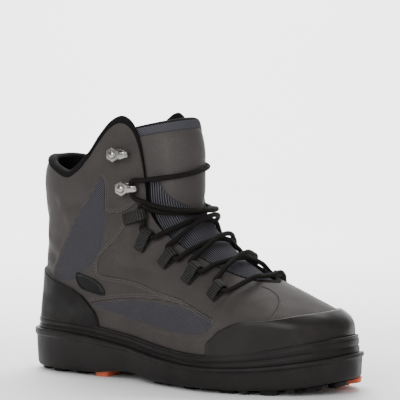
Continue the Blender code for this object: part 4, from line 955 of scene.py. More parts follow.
# %% Band and outsole wall
SOLE_TURNS = full_turn(560)
BAND_FOOT = 0.0009
BAND_PROFILE = (
    # inset in grooves, share of the height
    (1.6, 0.00), (0.35, 0.005), (0.06, 0.035), (0.0, 0.09), (0.0, 0.29), (0.12, 0.34), (0.75, 0.39),
    (1.0, 0.43), (0.95, 0.46), (0.48, 0.50), (0.32, 0.55), (0.30, 0.62), (0.30, 0.72), (0.36, 0.78),
    (0.80, 0.82), (1.05, 0.86), (0.98, 0.90), (0.90, 0.94), (0.95, 0.98), (1.4, 1.00), (2.4, 1.01),
)
WALL_PROFILE = (
    # inset in mm, share of the height
    (4.6, 0.985), (2.4, 0.998), (1.3, 1.000), (0.55, 0.996), (0.15, 0.984), (0.0, 0.960), (0.0, 0.875),
    (0.10, 0.850), (0.50, 0.832), (1.05, 0.822), (1.25, 0.800), (1.45, 0.700), (1.7, 0.480), (1.95, 0.260),
    (2.15, 0.140), (2.35, 0.080), (2.70, 0.035), (3.3, 0.008), (4.1, 0.000),
)


def carried(name, profile, low, high, scale, base, node):
    """Rings round the outline: each is set in by base + inset * scale, at a share from low to high."""
    edge, inward = outline(SOLE_TURNS), outline_inward(SOLE_TURNS)
    rings = np.array([np.column_stack([edge + inward * (base + inset * scale), low + (high - low) * share])
                      for inset, share in profile])
    hint = np.broadcast_to(np.column_stack([-inward, 0 * SOLE_TURNS]), rings.shape)
    around = run_length(rings, 1)[len(profile) // 2][None] + 0 * rings[..., 0]
    piece(name, rings, lattice(*rings.shape[:2], ring=True), SOLE_RUBBER, "black_rubber", (node,),
          hint=hint, uv=np.stack([around, run_length(rings, 0)], -1))


edge_x = outline(SOLE_TURNS)[:, 0]
carried("sole_band", BAND_PROFILE, sole_top(edge_x) - BAND_FOOT, rim_top(edge_x), BAND_GROOVE, SOLE_LIP,
        "midsole")
carried("sole_wall", WALL_PROFILE, tread(edge_x), sole_top(edge_x), MM, 0.0, "outsole")

# %% Tread floor
STRIPS, ACROSS, FLOOR_OVERLAP = 260, 96, 0.0002
GROOVE_DEPTH, GROOVE_HALF, GROOVE_FROM, GROOVE_TO = 0.0008, 0.0007, (0.095, 0.110), (0.235, 0.250)
GROOVE_PLACE, GROOVE_SWING, GROOVE_START, GROOVE_WAVE = 0.0135, 0.006, 0.1, 22

turns = np.linspace(0.0, math.pi, STRIPS)[:, None]
inset = WALL_PROFILE[-1][0] * MM - FLOOR_OVERLAP
outer_edge, inner_edge = (outline(turn) + outline_inward(turn) * inset
                          for turn in (turns, 2 * math.pi - turns))
plan = outer_edge + (inner_edge - outer_edge) * np.linspace(0.0, 1.0, ACROSS)[None, :, None]
plan_x, plan_y = plan[..., 0], plan[..., 1]
wave = GROOVE_PLACE + GROOVE_SWING * np.sin((plan_x - GROOVE_START) * GROOVE_WAVE)
groove = bell(plan_y - wave, GROOVE_HALF) * between(plan_x, *GROOVE_FROM) * (1 - between(plan_x, *GROOVE_TO))
tread_points = np.concatenate([plan, (tread(plan_x) + GROOVE_DEPTH * groove)[..., None]], -1)
piece("tread_floor", tread_points, lattice(STRIPS, ACROSS), SOLE_RUBBER, "black_rubber",
      hint=np.broadcast_to([0.0, 0.0, -1.0], tread_points.shape), uv=plan)

# %% [markdown]
# The lugs grip the river bed. A row of a table is one lug: where its broad end and its tip lie, as shares of
# the sole's length and the ball's width, how wide both ends are, and how much of the full depth it has.
# Black and orange lugs follow the same rows, so one recipe makes both.

# %% Tables of the lugs
BLACK_LUGS = (
    # broad end      tip             widths        depth
    (0.972, -0.027, 0.924, 0.009, 0.120, 0.045, 1.0), (0.928, -0.185, 0.887, -0.063, 0.125, 0.040, 1.0),
    (0.829, -0.350, 0.807, -0.163, 0.132, 0.040, 1.0), (0.716, -0.405, 0.710, -0.213, 0.139, 0.040, 1.0),
    (0.594, -0.400, 0.613, -0.215, 0.132, 0.040, 1.0), (0.480, -0.332, 0.499, -0.139, 0.126, 0.040, 1.0),
    (0.433, -0.240, 0.350, -0.315, 0.150, 0.030, 0.6), (0.851, 0.001, 0.874, 0.152, 0.090, 0.020, 0.8),
    (0.793, 0.037, 0.814, 0.206, 0.090, 0.020, 0.8), (0.724, 0.037, 0.739, 0.220, 0.085, 0.020, 0.8),
    (0.661, 0.001, 0.644, 0.173, 0.085, 0.020, 0.8), (0.788, -0.120, 0.826, 0.001, 0.085, 0.020, 0.8),
    (0.722, -0.149, 0.763, 0.037, 0.085, 0.020, 0.8), (0.650, -0.192, 0.694, 0.001, 0.085, 0.020, 0.8),
    (0.579, -0.177, 0.630, -0.026, 0.080, 0.020, 0.8), (0.582, -0.026, 0.541, 0.073, 0.085, 0.020, 0.8),
    (0.884, -0.310, 0.872, -0.192, 0.055, 0.020, 0.6), (0.771, -0.420, 0.760, -0.292, 0.065, 0.020, 0.6),
    (0.655, -0.432, 0.651, -0.339, 0.065, 0.020, 0.6), (0.524, -0.402, 0.537, -0.284, 0.060, 0.020, 0.6),
    (0.857, 0.410, 0.857, 0.317, 0.040, 0.020, 0.6), (0.749, 0.435, 0.753, 0.352, 0.055, 0.020, 0.6),
    (0.628, 0.385, 0.640, 0.302, 0.045, 0.020, 0.6), (0.203, -0.262, 0.195, -0.085, 0.120, 0.040, 1.0),
    (0.125, -0.262, 0.125, -0.085, 0.120, 0.040, 1.0), (0.052, -0.190, 0.085, -0.050, 0.110, 0.040, 1.0),
    (0.275, 0.262, 0.258, 0.085, 0.120, 0.040, 1.0), (0.197, 0.262, 0.190, 0.085, 0.120, 0.040, 1.0),
    (0.119, 0.262, 0.122, 0.085, 0.120, 0.040, 1.0), (0.048, 0.175, 0.082, 0.040, 0.110, 0.040, 1.0),
    (0.172, -0.010, 0.126, -0.010, 0.095, 0.060, 1.0), (0.240, 0.015, 0.205, 0.000, 0.085, 0.040, 0.8),
    (0.020, 0.000, 0.070, 0.000, 0.090, 0.030, 1.0),
)
ORANGE_LUGS = (
    # broad end      tip            widths        depth
    (0.973, 0.195, 0.924, 0.118, 0.112, 0.035, 1.0), (0.908, 0.345, 0.892, 0.180, 0.108, 0.038, 1.0),
    (0.811, 0.423, 0.808, 0.231, 0.132, 0.042, 1.0), (0.689, 0.414, 0.713, 0.231, 0.138, 0.040, 1.0),
    (0.574, 0.312, 0.615, 0.149, 0.130, 0.042, 1.0), (0.472, 0.245, 0.497, 0.050, 0.132, 0.038, 1.0),
    (0.276, -0.292, 0.285, -0.094, 0.130, 0.040, 1.0),
)
ARCH_OVAL, ARCH_OVAL_DEPTH = (0.407, 0.005, 0.126, 0.068, 28.0), 0.7
print("lugs:", len(BLACK_LUGS), "black,", len(ORANGE_LUGS), "orange")

# %% [markdown]
# A lug is a wedge. A cube with bevels would do for one of them, but here a plan of eight corners has its
# corners cut twice, which rounds it, and is then drawn down with drafted sides and a soft edge at its foot.

# %% Plans of the lugs
SHOULDER, CHEEK, BROW, BLUNT = 0.35, 0.8, 0.62, 0.5


def tread_place(share, across):
    """A place on the tread from its shares of length and width."""
    return np.array([HEEL_END + share * LENGTH, across * BALL_WIDTH])


def wedge(lug):
    """Plan of a wedge: a blunt narrow tip, cheeks beside it, shoulders, and a brow at the broad end."""
    broad, tip = tread_place(*lug[0:2]), tread_place(*lug[2:4])
    ahead = unit(broad - tip)
    right = np.array([-ahead[1], ahead[0]])
    wide, narrow = lug[4] * BALL_WIDTH / 2, lug[5] * BALL_WIDTH / 2
    shoulder = broad - ahead * wide * SHOULDER
    cheek, brow, blunt = tip + ahead * narrow * CHEEK, right * wide * BROW, right * narrow * BLUNT
    return np.array([tip - blunt, tip + blunt, cheek + right * narrow, shoulder + right * wide, broad + brow,
                     broad - brow, shoulder - right * wide, cheek - right * narrow])


def cut_corners(plan, rounds=2):
    """Each edge is replaced by the part from a quarter to three quarters of it, over and over."""
    for _ in range(rounds):
        ahead = np.roll(plan, -1, 0)
        plan = np.stack([plan * 0.75 + ahead * 0.25, plan * 0.25 + ahead * 0.75], 1).reshape(-1, 2)
    return plan


def swung(u, v, degrees):
    """Two coordinates turned in their plane: (u cos - v sin, u sin + v cos)."""
    turn = math.radians(degrees)
    return u * math.cos(turn) - v * math.sin(turn), u * math.sin(turn) + v * math.cos(turn)


def oval(share, across, long_half, short_half, degrees):
    """Plan of an ellipse, (a cos, b sin), turned by degrees."""
    turn = full_turn(40)
    plan = swung(np.cos(turn) * long_half * BALL_WIDTH, np.sin(turn) * short_half * BALL_WIDTH, degrees)
    return tread_place(share, across) + np.stack(plan, -1)


print("corners of a lug's plan:", len(cut_corners(wedge(BLACK_LUGS[0]))))

# %% Lugs
LUG_ROOT, LUG_POLE = 0.0006, 0.03
LUG_PROFILE = (
    # spread in mm, share of the depth
    (1.10, 0.0), (0.85, 0.14), (0.45, 0.22), (0.15, 0.80), (0.0, 0.92), (-0.35, 0.985), (-0.75, 1.0),
)


def lug_form(plan, depth):
    """Rings of the plan, spread by the profile from inside the tread down to the foot, a small one in the
    foot's middle, and rough outward directions away from a point over the lug's middle."""
    middle = plan.mean(0)
    size = np.abs(plan - middle).max()
    shallow = tread(middle[0]) - LUG_DEPTH * depth + 0 * plan[:, 0]
    foot = shallow if depth < 1.0 else ground(plan[:, 0])
    top = tread(plan[:, 0]) + LUG_ROOT
    rings = [np.column_stack([middle + (plan - middle) * (1 + spread * MM / size),
                              top + (foot - top) * share]) for spread, share in LUG_PROFILE]
    rings.append(np.column_stack([middle + (plan - middle) * LUG_POLE, foot]))
    points = np.concatenate(rings)
    return points, tube(len(rings), len(plan)), unit(points - points.mean(0) - [0, 0, LUG_DEPTH])


lugs = [lug_form(cut_corners(wedge(lug)), lug[6]) for lug in BLACK_LUGS]
points, faces = joined([lug[:2] for lug in lugs])
piece("black_lugs", points, faces, SOLE_RUBBER, "black_rubber", hint=np.concatenate([lug[2] for lug in lugs]))
orange = [(f"orange_lug_{number}", f"lug_insert_{number}", cut_corners(wedge(lug)), lug[6])
          for number, lug in enumerate(ORANGE_LUGS, 1)]
for name, node, plan, depth in orange + [("arch_oval", "arch_inlay", oval(*ARCH_OVAL), ARCH_OVAL_DEPTH)]:
    points, faces, hint = lug_form(plan, depth)
    piece(name, points, faces, ORANGE_RUBBER, "orange_rubber", (node,), hint=hint)

# %% [markdown]
# Between the lugs the tread has small round bosses that mark where studs may be screwed in: a raised ring
# with a dot in it. A boss is one profile turned round its middle, as on a lathe.

# %% Stud bosses
BOSSES = ((0.899, 0.066), (0.853, 0.238), (0.855, -0.132), (0.751, 0.297), (0.756, -0.218), (0.649, 0.245),
          (0.654, -0.245), (0.553, 0.145), (0.553, -0.212))
BOSS_PROFILE = (
    # radius and height, mm
    (5.0, 0.3), (4.7, -0.5), (4.2, -0.75), (3.7, -0.5), (3.3, 0.1), (2.2, 0.1), (1.9, -0.4), (1.2, -0.6),
    (0.05, -0.65),
)


def boss(share, across):
    """Rings of the profile round a place on the tread, each lying along the tread's own slope."""
    turn = full_turn(28)
    circle = np.stack([np.cos(turn), np.sin(turn)], -1)
    rings = []
    for radius, height in BOSS_PROFILE:
        plan = tread_place(share, across) + circle * radius * MM
        rings.append(np.column_stack([plan, tread(plan[:, 0]) + height * MM]))
    return np.concatenate(rings), tube(len(BOSS_PROFILE), len(turn))


points, faces = joined([boss(*place) for place in BOSSES])
piece("stud_bosses", points, faces, SOLE_RUBBER, "black_rubber",
      hint=np.broadcast_to([0.0, 0.0, -1.0], points.shape))

# %% [markdown]
# ## Webbing loops
#
# A loop is a length of ribbed tape: it runs up from its sewn end, turns round an eye for the lace and
# tucks in under itself. A torus would only give the eye. So the tape is a flat rounded section carried along
# that whole path, and its ribs are a wave of its thickness.

# %% Tape along a path
RIB_PITCH = 1.9 * MM


def flat_section(points, side_power, face_power):
    """A rounded rectangle from a circle: sign(cos)|cos|^p across, sign(sin)|sin|^q towards its faces."""
    across, towards = np.cos(full_turn(points)), np.sin(full_turn(points))
    return np.sign(across) * np.abs(across) ** side_power, np.sign(towards) * np.abs(towards) ** face_power


def tape(path, normals, across, width, thickness, rib):
    """A flat section carried along a path and closed at both ends. A rib is half of 1 + cos(2 pi run/pitch).
    Gives the points, their outward hint, a UV map of the tape laid flat, and the ribs."""
    run = run_length(path[:, None], 0)
    flat_x, flat_y = flat_section(28, 0.35, 0.7)
    top = 0.5 + 0.5 * np.cos(2 * math.pi * run / RIB_PITCH)
    shrink = np.ones_like(run)
    shrink[:2, 0], shrink[-2:, 0] = (0.02, 0.9), (0.9, 0.02)
    reach, rise = flat_x * width / 2 * shrink, flat_y * (thickness / 2 + rib * top) * shrink
    grid = path[:, None] + across[:, None] * reach[..., None] + normals[:, None] * rise[..., None]
    hint = across[:, None] * flat_x[None, :, None] * 0.3 + normals[:, None] * flat_y[None, :, None]
    flat = np.zeros(grid.shape[:2])
    return grid, hint, np.stack([flat_x * width / 2 + flat, run + flat], -1), top + flat


def read_at(run, values, at):
    """Three columns of values, known at the runs of a path, read by a smooth curve at other runs."""
    return np.stack([smooth(np.column_stack([run, values[:, k]]), at, 1) for k in range(3)], -1)


def resample(path, step, *others):
    """Points at even steps along a path; other arrays are read at the same places and made unit long."""
    run = run_length(path[:, None], 0)[:, 0]
    keep = np.concatenate([[True], np.diff(run) > 1e-6])
    run, at = run[keep], np.linspace(0.0, run[-1], max(int(run[-1] / step), 2))
    return [read_at(run, path[keep], at)] + [unit(read_at(run, values[keep], at)) for values in others]


print("tape and ribs, mm:", LOOP_WIDTH * 1000, "wide, a rib every", RIB_PITCH * 1000)

# %% Places on the upper
LOOPS = (
    # sewn end     eye
    (0.615, 0.340, 0.689, 0.370), (0.606, 0.391, 0.699, 0.434), (0.592, 0.447, 0.674, 0.483),
    (0.565, 0.500, 0.660, 0.556), (0.606, 0.612, 0.691, 0.631),
)
SIDES = (("outer", False), ("inner", True))


def on_side(angle, mirror):
    """The angle itself on the outer side, 2 pi less it on the inner one."""
    return 2 * math.pi - angle if mirror else angle


def surface_frame(angle, z, along_angle, along_z):
    """A point on the upper, its normal, the direction towards a second place, and across."""
    start, out = body(angle, z), facing(angle, z)
    ahead = body(along_angle, along_z) - start
    ahead = unit(ahead - out * np.dot(ahead, out))
    return start, out, ahead, np.cross(out, ahead)


def loop_ends(row, mirror):
    """Angle and height of a loop's sewn end, then of its eye."""
    return (on_side(row[0] * math.pi, mirror), row[1] * SHAFT_HEIGHT,
            on_side(row[2] * math.pi, mirror), row[3] * SHAFT_HEIGHT)


print("loops on each side:", len(LOOPS))

# %% Path of a loop
LOOP_OVER, LOOP_UNDER, LOOP_TAIL, LOOP_TURN = 1.55, 0.5, 0.18, math.pi * 0.98


def loop_path(row, mirror):
    """Middle line of the tape: over the top from the sewn end to a tangent of the eye's circle, round the
    circle, and back under along the upper. Counted from the circle's top, the tangent touches it at the
    angle of the line to the eye's middle plus acos(radius/distance), less a quarter turn."""
    sewn, low, eye, high = loop_ends(row, mirror)
    origin, out, back, across = surface_frame(eye, high, sewn, low)
    radius = (LOOP_EYE + LOOP_THICKNESS) / 2
    middle = STRAP_LIFT + LOOP_THICKNESS + LOOP_EYE / 2
    start = over(sewn, low, STRAP_LIFT + LOOP_THICKNESS * LOOP_OVER)
    reach, drop = np.dot(start - origin, back), np.dot(start - origin, out) - middle
    tangent = math.atan2(drop, reach) + math.acos(radius / math.hypot(reach, drop)) - math.pi / 2
    turn = np.linspace(tangent, LOOP_TURN, 40)
    ring = origin + out * (middle + radius * np.cos(turn))[:, None] - back * (radius * np.sin(turn))[:, None]
    upper_run = start + (ring[0] - start) * np.linspace(0.0, 1.0, 12, endpoint=False)[:, None]
    share = np.linspace(LOOP_TAIL, 1.0, 14)
    under = over(eye + (sewn - eye) * share, high + (low - high) * share,
                 np.full(len(share), STRAP_LIFT + LOOP_THICKNESS * LOOP_UNDER))
    return np.concatenate([upper_run, ring, under]), across


print("points on a loop's path:", len(loop_path(LOOPS[0], False)[0]))

# %% Loops
LOOP_STEP, LOOP_RIB = 0.25 * MM, 0.35 * MM


def strap_piece(name, node, path, normals, across, width, thickness, rib):
    """One tape as a piece of webbing."""
    grid, hint, uv, ribs = tape(path, normals, across, width, thickness, rib)
    piece(name, grid, tube(*grid.shape[:2]), TAPE, "webbing", (node,), hint=hint, uv=uv, layers={"rib": ribs})


for side_name, mirror in SIDES:
    for number, row in enumerate(LOOPS, 1):
        path, across = loop_path(row, mirror)
        path, = resample(path, LOOP_STEP)
        ahead = unit(np.gradient(path, axis=0))
        wide = unit(across - ahead * (ahead @ across)[:, None])
        strap_piece(f"tape_loop_{side_name}_{number}", f"lace_loop_{side_name}_{number}", path,
                    np.cross(ahead, wide), wide, LOOP_WIDTH, LOOP_THICKNESS, LOOP_RIB)

# %% [markdown]
# ## Hooks
#
# A lace hook is stamped from sheet: a base riveted to the flap, a fold at the throat side in which the lace
# lies, and a leaf that ends in a six-sided head with a domed rivet. Boxes with bevels would come near it,
# but the fold has to fit round the lace. So the sheet is a section carried along its bent middle line, and
# head and rivets are profiles turned round the hook's axis.

# %% Places and frames of the hooks
HOOKS = ((0.640, 0.734), (0.615, 0.862))
HOOK_AHEAD = 0.05 * math.pi
SHEET_LOW = GAP * 3 + HOOK_SHEET / 2


def hook_frame(row, mirror):
    """Frame of a hook on the upper, pointing level towards the throat."""
    angle, z = row[0] * math.pi, row[1] * SHAFT_HEIGHT
    return surface_frame(on_side(angle, mirror), z, on_side(angle + HOOK_AHEAD, mirror), z)


def turned(profile, corners, phase=0.0):
    """Rings of a profile (radius, height) turned round an axis, with as many corners as asked."""
    turn, profile = full_turn(corners) + phase, np.array(profile)
    radius, height = profile[:, :1], profile[:, 1:]
    return np.stack([radius * np.cos(turn), radius * np.sin(turn), height + 0 * turn], -1)


def dome(radius, foot, height, corners):
    """A quarter ellipse, (r cos, foot + h sin), turned round the axis."""
    return turned([(radius * math.cos(a), foot + height * math.sin(a))
                   for a in np.linspace(0.0, math.pi / 2 * 0.98, 9)], corners)


print("hooks on each side:", len(HOOKS))

# %% Parts of a hook
HEAD_PROFILE = (
    # share of the radius, height in mm over the leaf
    (0.0, -0.9), (0.93, -0.9), (1.0, -0.6), (1.0, 0.35), (0.93, 0.75), (0.64, 0.85), (0.60, 0.5), (0.01, 0.5),
)
BASE_SHEET = (
    # place in heads, width in heads
    (-0.34, 0.30), (-0.31, 0.52), (-0.2, 0.72), (0.0, 0.80),
)
FOLD_SHEET = (
    # place in shares of the way to the fold, width in heads
    (0.45, 0.78), (0.8, 0.56),
)
HEAD_DOME, BASE_RIVET = (3.3 * MM, 2.1 * MM), (2.6 * MM, 1.2 * MM)


def hook_sheet(bend, fold):
    """The sheet along its middle line: the base, a half circle (sin, 1 - cos) at the fold, and the leaf."""
    leaf = SHEET_LOW + 2 * bend
    line = [(share * HOOK_HEAD, SHEET_LOW, wide * HOOK_HEAD) for share, wide in BASE_SHEET]
    line += [(share * fold, SHEET_LOW, wide * HOOK_HEAD) for share, wide in FOLD_SHEET]
    line += [(fold + bend * math.sin(a), SHEET_LOW + bend * (1 - math.cos(a)), HOOK_NECK)
             for a in np.linspace(0.0, math.pi, 17)]
    line += [(HOOK_HEAD / 2, leaf, HOOK_NECK), (HOOK_HEAD * 0.3, leaf, HOOK_NECK)]
    ahead, height, width = np.array(line).T
    path = np.stack([ahead, 0 * ahead, height], -1)
    along_line = unit(np.gradient(path, axis=0))
    normal = np.stack([-along_line[:, 2], 0 * ahead, along_line[:, 0]], -1)[:, None]
    flat_x, flat_y = flat_section(16, 0.4, 0.8)
    sideways, upright = np.array([0, 1.0, 0]) * flat_x[:, None], normal * flat_y[:, None]
    return (path[:, None] + sideways * width[:, None, None] / 2 + upright * HOOK_SHEET / 2,
            sideways * 0.3 + upright)


print("widths in the base:", len(BASE_SHEET) + len(FOLD_SHEET))

# %% A whole hook
def hook_form(row, mirror):
    """Sheet, head, dome and rivet, each turned outwards and set into the hook's frame, as one."""
    origin, out, ahead, across = hook_frame(row, mirror)
    bend = LACE / 2 + HOOK_SHEET / 2 + GAP * 3
    leaf = SHEET_LOW + 2 * bend
    radius = HOOK_HEAD / 2 / math.cos(math.pi / 6)
    head = turned([(max(radius * share, 0.01 * MM), leaf + height * MM) for share, height in HEAD_PROFILE],
                  6, math.pi / 6)
    domes = [dome(HEAD_DOME[0], leaf + 0.5 * MM, HEAD_DOME[1], 28),
             dome(BASE_RIVET[0], SHEET_LOW + 0.5 * MM, BASE_RIVET[1], 20)]
    parts = [hook_sheet(bend, HOOK_REACH - HOOK_HEAD / 2 - bend - HOOK_SHEET / 2),
             (head, head - head.mean((0, 1)))] + [(grid, grid - grid[0].mean(0)) for grid in domes]
    axes = np.stack([ahead, across, out])
    forms = []
    for grid, hint in parts:
        world, hint = (grid @ axes + origin).reshape(-1, 3), (hint @ axes).reshape(-1, 3)
        forms.append((world, outward(world, tube(*grid.shape[:2]), hint)))
    return joined(forms)


print("points in a hook:", len(hook_form(HOOKS[0], False)[0]))

# %% Hooks
HARD_EDGE = 38
for side_name, mirror in SIDES:
    for number, row in enumerate(HOOKS, 1):
        piece(f"hook_{side_name}_{number}", *hook_form(row, mirror), NICKEL, "nickel",
              (f"lace_hook_{side_name}_{number}",), sharp=HARD_EDGE)

# %% [markdown]
# ## Lace
#
# One cord runs from the inner lower hook down to the toe and up again. A curve with handles would have to
# be bent round the tongue by eye. Here each strand is pulled tight instead: its points move to the middle of
# their neighbours and are pushed out of the tongue, again and again, until it lies as a taut string would.
# A round section is then carried along the smooth path.

# %% Lace through eyes and hooks
EYE_REACH, EYE_BOW, HOOK_ENTRY = 0.0072, 0.0013, 0.0060


def up_the_throat(across):
    """The across direction, turned over where it points down."""
    return across if across[2] > 0 else -across


def through_eye(row, mirror):
    """Points of the lace through a loop's eye, up the throat, bowed a little towards it."""
    sewn, low, eye, high = loop_ends(row, mirror)
    origin, out, back, across = surface_frame(eye, high, sewn, low)
    rise = up_the_throat(across) * EYE_REACH
    middle = origin + out * (STRAP_LIFT + LOOP_THICKNESS + LOOP_EYE / 2)
    ends = middle - back * EYE_BOW
    return [ends - rise, middle, ends + rise]


def through_hook(row, mirror):
    """Ends of the straight piece of lace in a hook's fold, from the lower up."""
    origin, out, ahead, across = hook_frame(row, mirror)
    bend = LACE / 2 + GAP * 3
    fold = HOOK_REACH - HOOK_HEAD / 2 - bend - HOOK_SHEET * 1.5
    rise = up_the_throat(across) * HOOK_ENTRY
    middle = origin + ahead * fold + out * (GAP * 3 + HOOK_SHEET + bend)
    return [middle - rise, middle + rise]


print("lace through the first eye, mm:", (through_eye(LOOPS[0], False)[1] * 1000).round(1).tolist())

# %% Strands pulled tight
LACE_CLEARANCE, FLAP_LIFT, FLAP_SHARE = 0.0007, 0.0007, 0.07
STRAND_STEPS, TIGHTENINGS, START_BOW = 12, 160, 0.02


def lace_height(angle, z):
    """The lace's middle line resting over the tongue, or over the flap's edge beside it."""
    inside = between(throat_half(z / SHAFT_HEIGHT) - np.abs(angle / math.pi - 1.0), 0.0, FLAP_SHARE)
    lift = tongue_lift(angle, z)
    lift = np.maximum(lift, FLAP_LIFT * (1.0 - inside) + lift * inside)
    return over(angle, z, lift + LACE / 2 + LACE_CLEARANCE)


rest_angle, rest_level = np.meshgrid(np.linspace(0.60, 1.40, 110) * math.pi, np.linspace(0.38, 0.99, 110))
rest_angle, rest_z = rest_angle.ravel(), rest_level.ravel() * SHAFT_HEIGHT
RESTING, REST_OUT = lace_height(rest_angle, rest_z), facing(rest_angle, rest_z)


def crossing(start, end, lift, hang=0.0):
    """A strand pulled tight from start to end round the tongue. The parabola 4 t (1 - t) lifts its middle,
    and a weight on its points, 4 hang / steps^2, lets it hang."""
    weight = np.array([0.0, 0.0, 4 * hang / STRAND_STEPS ** 2])
    share = np.linspace(0.0, 1.0, STRAND_STEPS + 1)[1:-1]
    bump = 4 * share * (1 - share)
    points = start + (end - start) * share[:, None] + np.array([START_BOW, 0.0, 0.0]) * bump[:, None]
    for _ in range(TIGHTENINGS):
        run = np.concatenate([[start], points, [end]])
        points = (run[:-2] + run[2:]) / 2 - weight
        nearest = ((points[:, None] - RESTING[None]) ** 2).sum(-1).argmin(1)
        depth = ((points - RESTING[nearest]) * REST_OUT[nearest]).sum(1) - lift * bump
        points = points - REST_OUT[nearest] * np.minimum(depth, 0.0)[:, None]
    return list(points)


print("places on which the lace may rest:", len(RESTING))

# %% Lace route
CROSS_UNDER, CROSS_OVER, TOP_CROSS_OVER, BAR_LIFT = 0.0002, 0.0046, 0.0060, 0.00138
HANG_OVER, HANG_UNDER, BAR_HANG = 0.034, 0.028, 0.022


def climb(mirror, lift, other_lift):
    """Half of the lace up one pair of eyes after another, crossing at each level save the top two."""
    points = through_eye(LOOPS[0], mirror)
    for row in LOOPS[1:-1]:
        mirror = not mirror
        entry = through_eye(row, mirror)
        points += crossing(points[-1], entry[0], lift) + entry
        lift, other_lift = other_lift, lift
    return points + through_eye(LOOPS[-1], mirror)


left, right = climb(False, CROSS_OVER, CROSS_UNDER), climb(True, CROSS_UNDER, CROSS_OVER)
bar = crossing(left[0], right[0], BAR_LIFT, BAR_HANG)
for half_run, lift, hang, hook, mirror in ((right, CROSS_UNDER, HANG_UNDER, 0, True),
                                           (left, TOP_CROSS_OVER, HANG_OVER, 0, False),
                                           (left, CROSS_UNDER, 0.0, 1, True)):
    entry = through_hook(HOOKS[hook], mirror)
    half_run += crossing(half_run[-1], entry[0], lift, hang) + entry
lace_route = np.array(right[::-1] + bar[::-1] + left)
print("lace, mm:", round(float(run_length(lace_route[:, None], 0)[-1, 0]) * 1000))

# %% Lace cord
CORD_SIDES, CORD_STEP = 16, 0.7 * MM


def cord_tube(route, radius):
    """A circle carried along a smooth path, turned as little as possible from ring to ring. Its UV map runs
    aslant, by run plus and minus the way round, as the strands of a braid do."""
    path, = resample(route, CORD_STEP)
    ahead = unit(np.gradient(path, axis=0))
    frames, right_way = [], unit(np.cross(ahead[0], np.array([0.0, 0.0, 1.0])))
    for direction in ahead:
        right_way = unit(right_way - direction * np.dot(right_way, direction))
        frames.append(right_way)
    frames = np.array(frames)
    turn = full_turn(CORD_SIDES)
    spokes = (np.cos(turn)[:, None] * frames[:, None]
              + np.sin(turn)[:, None] * np.cross(ahead, frames)[:, None])
    shrink = np.ones(len(path))
    shrink[:3], shrink[-3:] = (0.05, 0.6, 0.9), (0.9, 0.6, 0.05)
    grid = path[:, None] + spokes * radius * shrink[:, None, None]
    run = run_length(path[:, None], 0)
    around = np.abs(turn / math.pi - 1)[None] * 2 * math.pi * radius
    return grid, spokes, np.stack([around + run, run - around], -1)


grid, hint, uv = cord_tube(lace_route, LACE / 2)
piece("lace_cord", grid, tube(*grid.shape[:2]), CORD, "webbing", ("lace",), hint=hint, uv=uv)

# %% [markdown]
# ## Pull strap
#
# A strap down the back of the collar helps to pull the boot on. It is the same tape as the loops', so the
# same recipe serves, and it stands off the shaft between its ends to let a finger through.

# %% Pull strap
PULL_LOW, PULL_HIGH, PULL_ROWS, PULL_RIB = 0.612, 0.768, 60, 0.2 * MM
strap_z = np.linspace(PULL_LOW, PULL_HIGH, PULL_ROWS) * SHAFT_HEIGHT
bow = PULL_BOW * np.sin(np.linspace(0.0, math.pi, PULL_ROWS)) ** 0.8
path = over(0.0 * strap_z, strap_z, PULL_THICKNESS / 2 + GAP * 2 + bow)
sideways = np.broadcast_to([0.0, 1.0, 0.0], path.shape)
strap_piece("pull_strap", "pull_loop", path, facing(0.0 * strap_z, strap_z), sideways, PULL_WIDTH,
            PULL_THICKNESS, PULL_RIB)

# %% [markdown]
# ## Label
#
# A small oval rubber label sits on the outer side of the heel: a raised rim round a sunk, smooth field. A
# disc laid on the wall would cut into its curve, so the grid is polar and follows the upper, and its lift is
# a profile over the distance from its rim.

# %% Plain oval label
LABEL_CENTRE, LABEL_HALF, LABEL_TURN = (0.339, 79.4), (14.6 * MM, 7.4 * MM), -12.0
LABEL_PROFILE = np.array([
    # share of the radius, lift in mm
    [1.0, -0.2], [0.995, 0.6], [0.975, 1.0], [0.94, 1.2], [0.88, 1.2], [0.83, 1.1], [0.80, 0.8], [0.77, 0.7],
    [0.6, 0.75], [0.4, 0.8], [0.2, 0.82], [0.01, 0.83],
])


def label_places():
    """Angles and heights of a long oval, a circle pulled apart at its middle and scaled from rim to middle,
    laid on the upper by small steps of angle and height."""
    turn, rings = full_turn(72), LABEL_PROFILE[:, :1]
    long_half, half = LABEL_HALF
    u = ((long_half - half) * np.clip(np.cos(turn) * 3.0, -1.0, 1.0) + half * np.cos(turn)) * rings
    u, v = swung(u, half * np.sin(turn) * rings, LABEL_TURN)
    angle, z = LABEL_CENTRE[0] * math.pi, LABEL_CENTRE[1] * MM
    per_turn = np.linalg.norm(body(angle + 0.01, z) - body(angle - 0.01, z)) / 0.02
    return angle + u / per_turn, z + v


label_angle, label_z = label_places()
label = over(label_angle, label_z, LABEL_PROFILE[:, 1:] * MM + 0 * label_z)
piece("plain_label", label, tube(*label_z.shape, first=False), LABEL_RUBBER, "black_rubber",
      hint=facing(label_angle, label_z))

# %% [markdown]
# ## Stitches
#
# Seams are sewn with one or two rows of thread. Bump could draw them, but real ones catch the light, so a
# stitch is a small six-sided bead that lies in the surface with its ends sunk. Hundreds of them make one
# mesh, so each has few faces.

# %% Rows of stitches
STITCH_PITCH, STITCH_LENGTH, STITCH_RADIUS, STITCH_CORNERS = 2.6 * MM, 1.9 * MM, 0.36 * MM, 6
SEWN = ((FLAP_SEAM, (1.4, 3.2)), (EYESTAY_SEAM, (-1.4, -3.2)), (SADDLE_SEAM, (1.2, 3.0)), (VAMP_SEAM, (1.3,)))
STITCH_PROFILE = np.array([
    # along  girth  sunk, in radii
    [-0.5, 0.15, -0.5], [-0.3, 0.85, 0.1], [0.0, 1.0, 0.35], [0.3, 0.85, 0.1], [0.5, 0.15, -0.5],
])


